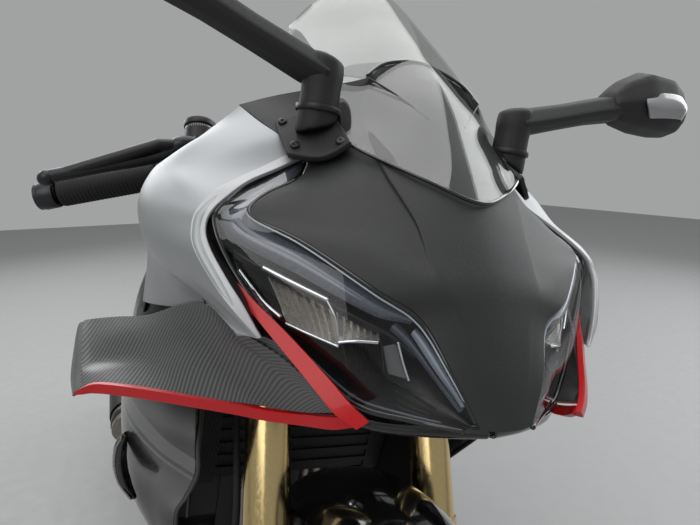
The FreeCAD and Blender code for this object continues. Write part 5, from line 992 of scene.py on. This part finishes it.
# Tail: the side cowls, deck, underside and vents, the lamp with its lit bar, the indicators and plate grommets.
TAIL_ROWS = (
    ((109, 250, 696), (117, 250, 707), (124, 250, 719), (128, 250, 744), (122, 250, 757)),
    ((104, 330, 727), (112, 335, 741), (119, 338, 755), (127, 338, 782), (115, 338, 802)),
    ((96, 430, 763), (104, 430, 774), (112, 430, 787), (122, 430, 822), (105, 430, 845)),
    ((88, 515, 789), (95, 515, 799), (102, 515, 811), (111, 515, 843), (98, 515, 868)),
    ((80, 600, 815), (85, 600, 823), (90, 600, 833), (98, 600, 862), (90, 600, 887)),
    ((67, 680, 839), (71, 680, 846), (75, 680, 853), (82, 680, 877), (75, 680, 897)),
    ((54, 759, 861), (57, 759, 866), (60, 759, 872), (64, 759, 888), (57, 759, 903)))
tail = panel("tail_sides", TAIL_ROWS, FAIRING_PAINT, along=64, across=36, wall=2.8, sides=SIDES,
             outward=(1, 0, 0))
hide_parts("tail_cowl")
panel("tail_deck", [
    [(0, 694, 898), (40, 694, 897), (70, 694, 893)], [(0, 730, 901), (36, 730, 900), (62, 730, 899)],
    [(0, 759, 903), (30, 759, 903), (55, 759, 902)]], FAIRING_PAINT, along=16, across=31,
    outward=(0, 0, 1), whole=True)
panel("tail_underside", [
    [(0, 500, 784), (50, 500, 785), (86, 500, 786)],
    [(0, 600, 814), (44, 600, 815), (77, 600, 816)],
    [(0, 759, 861), (30, 759, 861.5), (51, 759, 862)]], SATIN_BLACK, along=30,
    across=25, outward=(0, 0, -1), whole=True)
VENT, VENT_STEP = (((101, 540, 842), (98, 566, 850)), ((102, 546, 834), (99.5, 572, 842))), np.array((-9, 34, 10))
for index in range(3):
    panel(f"tail_vents_{index}", np.array(VENT) + index * VENT_STEP, SATIN_BLACK, along=4, across=8, wall=4,
          sides=SIDES, outward=(1, 0, 0), round_off=1)
lamp = panel("tail_lamp", [
    [(0, 776, 892), (22, 775.5, 892), (38, 772, 891), (46, 762, 890)],
    [(0, 778, 873), (24, 777.5, 873), (41, 774, 872), (50, 762, 871)],
    [(0, 772, 854), (22, 771, 854), (38, 768, 854), (45, 762, 854)]], RED_LENS,
    along=20, across=41, wall=3, outward=(0, 1, 0), whole=True)
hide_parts("rear_lamps")
panel("tail_lamp_bar", [
    [(0, 779, 878), (24, 778.6, 878), (38, 776, 877)],
    [(0, 779.4, 870), (24, 779, 870), (38, 776.4, 869)]], RED, along=5, across=31, wall=2,
    outward=(0, 1, 0), whole=True)
lofted("rear_indicators", [
    [(93, 857, 757), (93, 883, 761), (93, 883, 775), (93, 857, 779)],
    [(104, 852, 753), (104, 887, 757), (104, 887, 779), (104, 852, 783)],
    [(122, 852, 753), (122, 887, 757), (122, 887, 779), (122, 852, 783)],
    [(140, 858, 760), (140, 882, 763), (140, 882, 774), (140, 858, 777)]], AMBER,
    sides=SIDES, crease=0.5)
for index, x in enumerate((-40, 40)):
    turned(f"plate_grommet_{index}", ((0, 3.6), (0, 8), (1.4, 8), (2, 7), (2, 3.6)), (x, 927, 640), (0, 1, 0), RUBBER,
           steps=24)


# Wheels: shade helpers in the wheel's own frame, then round-crowned tyres with grooves as tread.
WORLD_AXLES = {"front": Vector(JOINTS["front_wheel_spin"]["pos_m"]), "rear": Vector(JOINTS["rear_wheel_spin"]["pos_m"])}


def in_wheel(shade, end):
    """Position along the axle, distance from it and turns round it, as wires."""
    local = shade.add("ShaderNodeMapping", {"Vector": shade.place, "Location": tuple(WORLD_AXLES[end]),
                                            "Rotation": (0, LEAN, 0)}, vector_type="TEXTURE")
    x, y, z = shade.axes(local)
    radius = (y * y + z * z).op("SQRT")
    return x, radius, y.op("ARCTAN2", z) / (2 * math.pi)


def tread_shade(end, radius, crown, sectors):
    """Rubber with long and short slanted cuts on each shoulder, sectors times round, and fine rings on the sides."""
    shade = plain(end + "_tread", (0.017, 0.017, 0.0175), 0.7, grain=500, depth=0.3)
    x, distance, turn = in_wheel(shade, end)
    lean_of = x.op("ARCTAN2", distance - (radius - crown))
    spread = lean_of.op("ABSOLUTE") * (180 / math.pi)
    handed = lean_of.op("SIGN") * 0.25
    place = turn * sectors + spread * 0.016 + handed
    long_cut = (place.op("FRACT") - 0.5).op("ABSOLUTE").between(0.045, 0.06, 1.0, 0.0)
    long_cut = long_cut * spread.between(9, 11) * spread.between(40, 42, 1.0, 0.0)
    short_place = turn * sectors - spread * 0.010 + handed + 0.45
    short_cut = (short_place.op("FRACT") - 0.5).op("ABSOLUTE").between(0.035, 0.05, 1.0, 0.0)
    short_cut = short_cut * spread.between(26, 28) * spread.between(56, 58, 1.0, 0.0)
    cut_here = long_cut.op("MAXIMUM", short_cut)
    ring = (spread * 2.6).op("FRACT").between(0.0, 0.12, 0.0, 1.0) * spread.between(74, 76)
    # The cuts are painted near-black: painted shade in the grooves.
    shade.set(Base_Color=shade.blend(cut_here, (0.019, 0.019, 0.0195), (0.004, 0.004, 0.004)))
    height = 1.0 - cut_here + ring * 0.12 + shade.noise(420, 2) * 0.05
    return shade.bump(height, 0.8, 0.003)


def tyre(end, radius, crown, bead_half, centre, sectors, widest):
    """A round crown out to the widest angle, then the sides in to the bead; the inside closes straight across."""
    arc = [math.radians(angle) for angle in np.linspace(-widest, widest, 27)]
    crown_line = [(crown * math.sin(a), radius - crown + crown * math.cos(a)) for a in arc]
    side = [(bead_half + out, r) for out, r in ((4, 247), (0.6, 232), (-1, 229), (-1, 219))]
    profile = [(-x, r) for x, r in reversed(side)] + crown_line + side
    tread = tread_shade(end, radius * MILLIMETRE, crown * MILLIMETRE, sectors)
    item = turned(f"{end}_tyre_ring", profile, centre, (1, 0, 0), tread, f"{end}_wheel", steps=120, ring=True)
    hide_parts(f"{end}_tyre")


tyre("front", 300, 60, 44.5, FRONT_AXLE, 22, 74)
tyre("rear", 315, 95, 70, REAR_AXLE, 18, 66)


# Discs: brushed rings with drilled rows as dark spots of painted shade, floating buttons, and bolts on the flanges.
DRILLED, BOLT_CIRCLE, BUTTON_CIRCLE = 36, 47, 97


def disc_shade(end, outer):
    """Turned steel with three rows of drilled spots near the outer radius, given in metres."""
    shade = streaked(end + "_disc_face", (0.40, 0.40, 0.41), 0.28, (1, 1, 1))
    x, distance, turn = in_wheel(shade, end)
    by_radius = shade.add("ShaderNodeCombineXYZ", {0: distance * 900})
    rings = shade.add("ShaderNodeTexNoise", {"Vector": by_radius, "Scale": 1.0})
    holes = None
    for share, phase in ((0.94, 0.0), (0.885, 0.33), (0.83, 0.66)):
        beat = (turn * DRILLED + phase).op("FRACT") - 0.5
        along = beat * (2 * math.pi * outer * share / DRILLED)
        gap = (along * along + (distance - outer * share) * (distance - outer * share)).op("SQRT")
        spot = gap.between(0.0026, 0.0031, 1.0, 0.0)
        holes = spot if holes is None else holes.op("MAXIMUM", spot)
    metal = shade.blend(rings.between(0.3, 0.7), (0.28, 0.28, 0.29), (0.44, 0.44, 0.45))
    # The drilled spots are painted near-black and not metallic: painted shade in place of open holes.
    shade.set(Base_Color=shade.blend(holes, metal, (0.004, 0.004, 0.004)), Metallic=1.0 - holes)
    return shade.bump(1.0 - holes, 0.6, 0.002)


shown("front_discs", disc_shade("front", 0.150))
shown("rear_disc", disc_shade("rear", 0.110))
for end, side_x, centre, tall, body, both in (("front", 75.5, FRONT_AXLE, 2.2, "front_wheel", SIDES),
                                              ("rear_disc", -102.5, REAR_AXLE, 5, "rear_wheel", (1,)),
                                              ("sprocket", 107, REAR_AXLE, 5, "rear_wheel", (1,))):
    for index in range(5):
        angle = 2 * math.pi * (index + 0.5) / 5
        at = (side_x, centre.y + BOLT_CIRCLE * math.cos(angle), centre.z + BOLT_CIRCLE * math.sin(angle))
        bolt(f"{end}_bolt_{index}", at, (1 if side_x > 0 else -1, 0, 0), 4.6, tall, body, sides=both)
for index in range(10):
    angle = 2 * math.pi * index / 10
    at = (75, FRONT_AXLE.y + BUTTON_CIRCLE * math.cos(angle), FRONT_AXLE.z + BUTTON_CIRCLE * math.sin(angle))
    turned(f"disc_button_{index}", ((-0.6, 0.01), (-0.6, 6), (0.1, 6), (0.35, 5), (0.35, 0.01)), at,
           (1, 0, 0), STEEL, "front_wheel", steps=20, sides=SIDES)
for end, half, centre in (("front", 50.5, FRONT_AXLE), ("rear", 76, REAR_AXLE)):
    stem = [(half * out, centre.y, centre.z + up) for out, up in ((0, 200), (0.3, 190), (0.62, 178))]
    tube(f"{end}_valve", stem, 3.2, RUBBER, f"{end}_wheel", count=12, around=10)
turned("axle_nut_left", ((0, 24), (9, 24), (11, 21), (11, 9), (4, 8.6), (4, 0.01)), on_fork(133, AXLE_Y, AXLE_Z),
       (1, 0, 0), STEEL, "steering", steps=6)


# Chain: paired link plates and rollers round both sprockets.
CHAIN_X, PITCH, TEETH = 103, 15.875, (16, 45)
PLATE_ROUND, ROLLER, ROLLER_HALF = 5.9, 4.6, 5


def chain_places():
    """The pins' places, one pitch apart on the line round both sprockets."""
    centres = (Vector((0, 10, 405)), REAR_AXLE)
    radii = [PITCH / (2 * math.sin(math.pi / teeth)) for teeth in TEETH]
    span = centres[1] - centres[0]
    run = span.normalized()
    up = Vector((1, 0, 0)).cross(run)
    lift = (radii[0] - radii[1]) / span.length
    level = math.sqrt(1 - lift * lift)
    line = []
    start, stop = math.atan2(level, lift), math.atan2(-level, lift)
    for centre, radius, first, last in ((centres[1], radii[1], start, stop),
                                        (centres[0], radii[0], stop, start - 2 * math.pi)):
        for k in range(60):
            angle = first + (last - first) * k / 59
            line.append(centre + (run * math.cos(angle) + up * math.sin(angle)) * radius)
    line.append(line[0])
    lengths = np.concatenate([[0], np.cumsum([(b - a).length for a, b in zip(line, line[1:])])])
    count = round(lengths[-1] / PITCH)
    places = np.linspace(0, lengths[-1], count + 1)[:-1]
    return [tuple(np.interp(at, lengths, [p[k] for p in line]) for k in range(3)) for at in places]


def chain_links():
    """Wide and narrow pairs of plates by turns, with a roller on each pin."""
    points, faces = [], []

    def prism(outline, low, high):
        faces.extend(closed_sleeve(len(points), 2, len(outline), True))
        points.extend((x, y, z) for x in (low, high) for y, z in outline)

    pins = chain_places()
    for index, pin in enumerate(pins):
        a, b = Vector(pin), Vector(pins[(index + 1) % len(pins)])
        way = (b - a).normalized()
        normal = Vector((0, -way.z, way.y))
        outline = []
        for end, sign in ((b, 1), (a, -1)):
            for angle in (-60, -20, 20, 60):
                turn = math.radians(angle)
                spot = end + (way * math.cos(turn) + normal * math.sin(turn)) * PLATE_ROUND * sign
                outline.append((spot.y, spot.z))
        for side in (-1, 1):
            near, far = (5.2, 7.0) if index % 2 else (7.2, 8.8)
            prism(outline, *sorted((CHAIN_X + side * near, CHAIN_X + side * far)))
        turns = np.linspace(0, 2 * math.pi, 9)[:-1]
        prism([(a.y + ROLLER * math.cos(t), a.z + ROLLER * math.sin(t)) for t in turns],
              CHAIN_X - ROLLER_HALF, CHAIN_X + ROLLER_HALF)
    return mesh_object("chain_links", points, faces, STEEL, smooth=False)


links = chain_links()
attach(links, "chassis")
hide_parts("chain")


# Mechanics: cast covers with bolts, the coil spring and damper, the can's bands, outlet and shield, the pipes'
# flanges, two hoses and the barrel's fins.
for index, (x, y, z, radius) in enumerate(((170, -170, 380, 64), (-170, -124, 384, 74))):
    way = (1 if x > 0 else -1, 0, 0)
    profile = ((0, radius + 6), (4, radius + 5), (7, radius - 3), (9, radius - 16), (10, radius - 30), (10, 18),
               (7, 16), (7, 0.01))
    turned(f"side_cover_{index}", profile, (x, y, z), way, CAST_ALLOY, steps=64)
    for k in range(7):
        angle, out = 2 * math.pi * k / 7, radius + 0.5
        bolt(f"cover_bolt_{index}_{k}", (x, y + out * math.cos(angle), z + out * math.sin(angle)), way, 4, 6.5)
COIL_LOW, COIL_HIGH = Vector((0, 236, 424.3)), Vector((0, 142, 598))
coil_way = (COIL_HIGH - COIL_LOW).normalized()
coil_across, coil_up = Vector((1, 0, 0)), coil_way.cross(Vector((1, 0, 0)))
COIL_START, COIL_RUN, COIL_STEPS, COIL_TURN, COIL_RADIUS = 44, 120, 128, 0.34, 28
spring = []
for k in range(COIL_STEPS + 1):
    out = coil_across * math.cos(k * COIL_TURN) + coil_up * math.sin(k * COIL_TURN)
    spring.append(tuple(COIL_LOW + coil_way * (COIL_START + COIL_RUN * k / COIL_STEPS) + out * COIL_RADIUS))
shock = tube("coil_spring", spring, 4.6, STEEL, count=420, around=8)
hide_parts("rear_shock")
turned("damper", ((12, 0.01), (12, 13), (34, 15), (34, 34), (40, 34), (42, 24), (60, 23), (130, 23), (131, 12),
                  (164, 12), (166, 34), (174, 34), (176, 20), (190, 15), (196, 0.01)), COIL_LOW, coil_way, SATIN_BLACK)
for name, low, high in (("shock_foot", (-13, 223, 424.5), (13, 249, 450)),
                        ("shock_top", (-15, 119, 579), (15, 149, 611))):
    (x0, y0, z0), (x1, y1, z1) = low, high
    lofted(name, [[(x, y0, z0), (x, y1, z0), (x, y1, z1), (x, y0, z1)] for x in (x0, x1)], DARK_ALLOY,
           levels=1, crease=0.8)
CAN_A, CAN_B = Vector((-200, 230, 248)), Vector((-222, 520, 358))
can_way = (CAN_B - CAN_A).normalized()
for index, at in enumerate((16, 292)):
    turned(f"can_band_{index}", ((0, 57), (0, 59.2), (1, 60), (13, 60), (14, 59.2), (14, 57)), CAN_A + can_way * at,
           can_way, DARK_ALLOY, steps=72)
turned("can_outlet", ((30, 36), (37, 35), (40, 31), (42, 26), (42, 22), (0, 21), (-12, 20.5), (-12, 0.01)), CAN_B,
       can_way, SATIN_BLACK, steps=56)
SHIELD_RADIUS, side_way = 62.5, Vector((-1, 0, 0))
top_way = can_way.cross(side_way)
top_way = top_way if top_way.z > 0 else -top_way
shield = []
for at in (40, 120, 200, 278):
    middle, turns = CAN_A + can_way * at, [math.radians(angle) for angle in (-38, -12, 14, 40, 62)]
    shield.append([tuple(middle + (side_way * math.cos(a) + top_way * math.sin(a)) * SHIELD_RADIUS) for a in turns])
panel("can_shield", shield, SATIN_BLACK, along=36, across=24, wall=1.6, outward=(-1, 0, 0.3), round_off=0.5)
for index, x in enumerate((-52, 52)):
    for k, side in enumerate(SIDES):
        bolt(f"pipe_stud_{index}_{k}", (x + 25 * side, -272, 650), (0, -1, 0), 4.2, 8)
    turned(f"pipe_flange_{index}", ((0, 20), (0, 32), (5, 32), (6, 30), (6, 20)), (x, -272, 650), (0, -1, 0), STEEL,
           steps=40)
tube("sump_line", [(60, -236, 300), (84, -262, 340), (96, -278, 420), (110, -300, 480)], 8, RUBBER,
     count=30, around=12)
tube("coolant_hoses", [(134, -352, 500), (128, -330, 470), (110, -290, 450), (88, -262, 460)], 15, RUBBER,
     sides=SIDES, count=30, around=16)
for index in range(11):
    y, low = -250 + index, 500 + index * 12
    fin = [[(-101, y, z), (0, y - 3, z), (101, y, z)] for z in (low, low + 3)]
    panel(f"barrel_fins_{index}", fin, CAST_ALLOY, along=2, across=12, wall=9, round_off=0.6)


# Rests and pedals: ribbed rubbers on the pegs and the toe pieces.
PEG_RIB = 6
for name, (x, y, z), length, radius in (("rider_peg_rubbers", (158, 226, 343.6), 62, 13),
                                        ("pillion_peg_rubbers", (140, 452, 521), 54, 12)):
    rings = [(0, radius - 2)]
    for k in range(int(length / PEG_RIB)):
        at = k * PEG_RIB
        rings += [(1 + at, radius - 1.6), (2.4 + at, radius), (5 + at, radius)]
    rings += [(length, radius - 2), (length, 0.01)]
    turned(name, rings, (x, y, z), (1, 0, 0.04), RUBBER, steps=28, sides=SIDES)
for name, side in (("gear_toe_rubber", 1), ("brake_toe_rubber", -1)):
    turned(name, ((6, 6), (6, 9.4), (8, 10.2), (36, 10.2), (39, 9), (40.5, 0.01)), (151.3 * side, 60, 316),
           (side, 0, 0), RUBBER, steps=24)


# Finishes for the pieces that come straight from the CAD.
RIM_PAINT = plain("rim_paint", (0.009, 0.009, 0.0095), 0.24, 0.3, depth=0.03, Coat_Weight=0.6)
for names, shade in (("frame swingarm rear_caliper front_calipers triple_clamps foot_controls fuel_cap", DARK_ALLOY),
                     ("engine", CAST_ALLOY), ("fork_tubes", GOLD), ("fork_legs rear_sprocket", STEEL),
                     ("exhaust", EXHAUST), ("front_rim rear_rim", RIM_PAINT),
                     ("clip_ons hand_controls instruments side_stand plate_bracket footrests", SATIN_BLACK)):
    shown(names, shade)


def radiator_core():
    """Dark core with fine upright fins between the level tubes; the gaps between the fins are painted shade."""
    shade = plain("radiator_fins", (0.03, 0.03, 0.031), 0.5, 0.6, grain=900, depth=0.1)
    local = shade.add("ShaderNodeMapping", {"Vector": shade.place, "Rotation": (0, LEAN, 0)}, vector_type="TEXTURE")
    fins = (shade.axes(local)[0] * 520).op("FRACT").op("LESS_THAN", 0.4)
    # The gaps between the fins take the near-black: painted shade between the fins.
    shade.set(Base_Color=shade.blend(fins, (0.012, 0.012, 0.0125), (0.085, 0.086, 0.09)))
    return shade.bump(fins, 0.5, 0.001)


shown("radiator", radiator_core())


# Showroom: a plain pale floor, four large soft lights and an even pale surrounding, in the world's metres.
FLOOR_HALF = 8
floor_mesh = bpy.data.meshes.new("floor")
floor_mesh.from_pydata([(x * FLOOR_HALF, y * FLOOR_HALF, 0) for x, y in ((-1, -1), (1, -1), (1, 1), (-1, 1))], [],
                       [(0, 1, 2, 3)])
floor_mesh.materials.append(plain("pale_floor", (0.33, 0.33, 0.335), 0.55, grain=30, depth=0.01, spread=0.03).material)
ground = bpy.data.objects.new("floor", floor_mesh)
bpy.context.scene.collection.objects.link(ground)


def area(name, at, aim, size, power, colour=(1, 1, 1)):
    """A soft box at one place that faces another; power in watts."""
    light = bpy.data.lights.new(name, "AREA")
    light.shape, light.size, light.size_y, light.energy, light.color = "RECTANGLE", size[0], size[1], power, colour
    item = bpy.data.objects.new(name, light)
    item.location = at
    item.rotation_euler = (Vector(aim) - Vector(at)).to_track_quat("-Z", "Y").to_euler()
    bpy.context.scene.collection.objects.link(item)


area("front_left", (-3.0, -3.0, 3.4), (0, -0.4, 0.7), (3.2, 3.2), 58, (1.0, 0.99, 0.97))
area("far_side", (3.6, 0.2, 2.4), (0, 0, 0.7), (3.4, 2.8), 70, (0.97, 0.99, 1.0))
area("over_head", (0.2, 0.4, 4.0), (0, 0, 0), (4.0, 5.0), 105)
area("behind", (-1.6, 3.6, 2.8), (0, 0.4, 0.7), (3.0, 2.4), 70)
world = bpy.data.worlds.new("showroom")
bpy.context.scene.world = world
world.use_nodes = True
surround = world.node_tree.nodes["Background"].inputs
surround["Color"].default_value, surround["Strength"].default_value = (0.42, 0.43, 0.425, 1), 0.85


# Camera: close to the nose on the right, low and rolled, as the photograph was taken; its place is on the upright
# bike, in millimetres.
def photo_camera(place, yaw, pitch, roll, lens):
    """Angles in degrees, the lens in millimetres on a 36 mm sensor."""
    yaw, pitch, roll = (math.radians(angle) for angle in (yaw, pitch, roll))
    ahead = Vector((math.sin(yaw) * math.cos(pitch), math.cos(yaw) * math.cos(pitch), -math.sin(pitch)))
    level = Vector((math.cos(yaw), -math.sin(yaw), 0))
    upright = level.cross(ahead)
    right = level * math.cos(roll) + upright * math.sin(roll)
    up = upright * math.cos(roll) - level * math.sin(roll)
    spin = PARK.to_quaternion().to_matrix() @ Matrix((right, up, -ahead)).transposed()
    camera = bpy.data.objects.new("camera", bpy.data.cameras.new("camera"))
    camera.data.lens, camera.data.sensor_width, camera.data.clip_start = lens, 36.0, 0.01
    camera.matrix_world = Matrix.Translation(PARK @ Vector(place)) @ spin.to_4x4()
    bpy.context.scene.collection.objects.link(camera)
    bpy.context.scene.camera = camera


photo_camera(place=(-259.6, -1046.8, 892.0), yaw=24.21, pitch=7.08, roll=8.62, lens=25.66)
bpy.context.scene.view_settings.view_transform = "Standard"
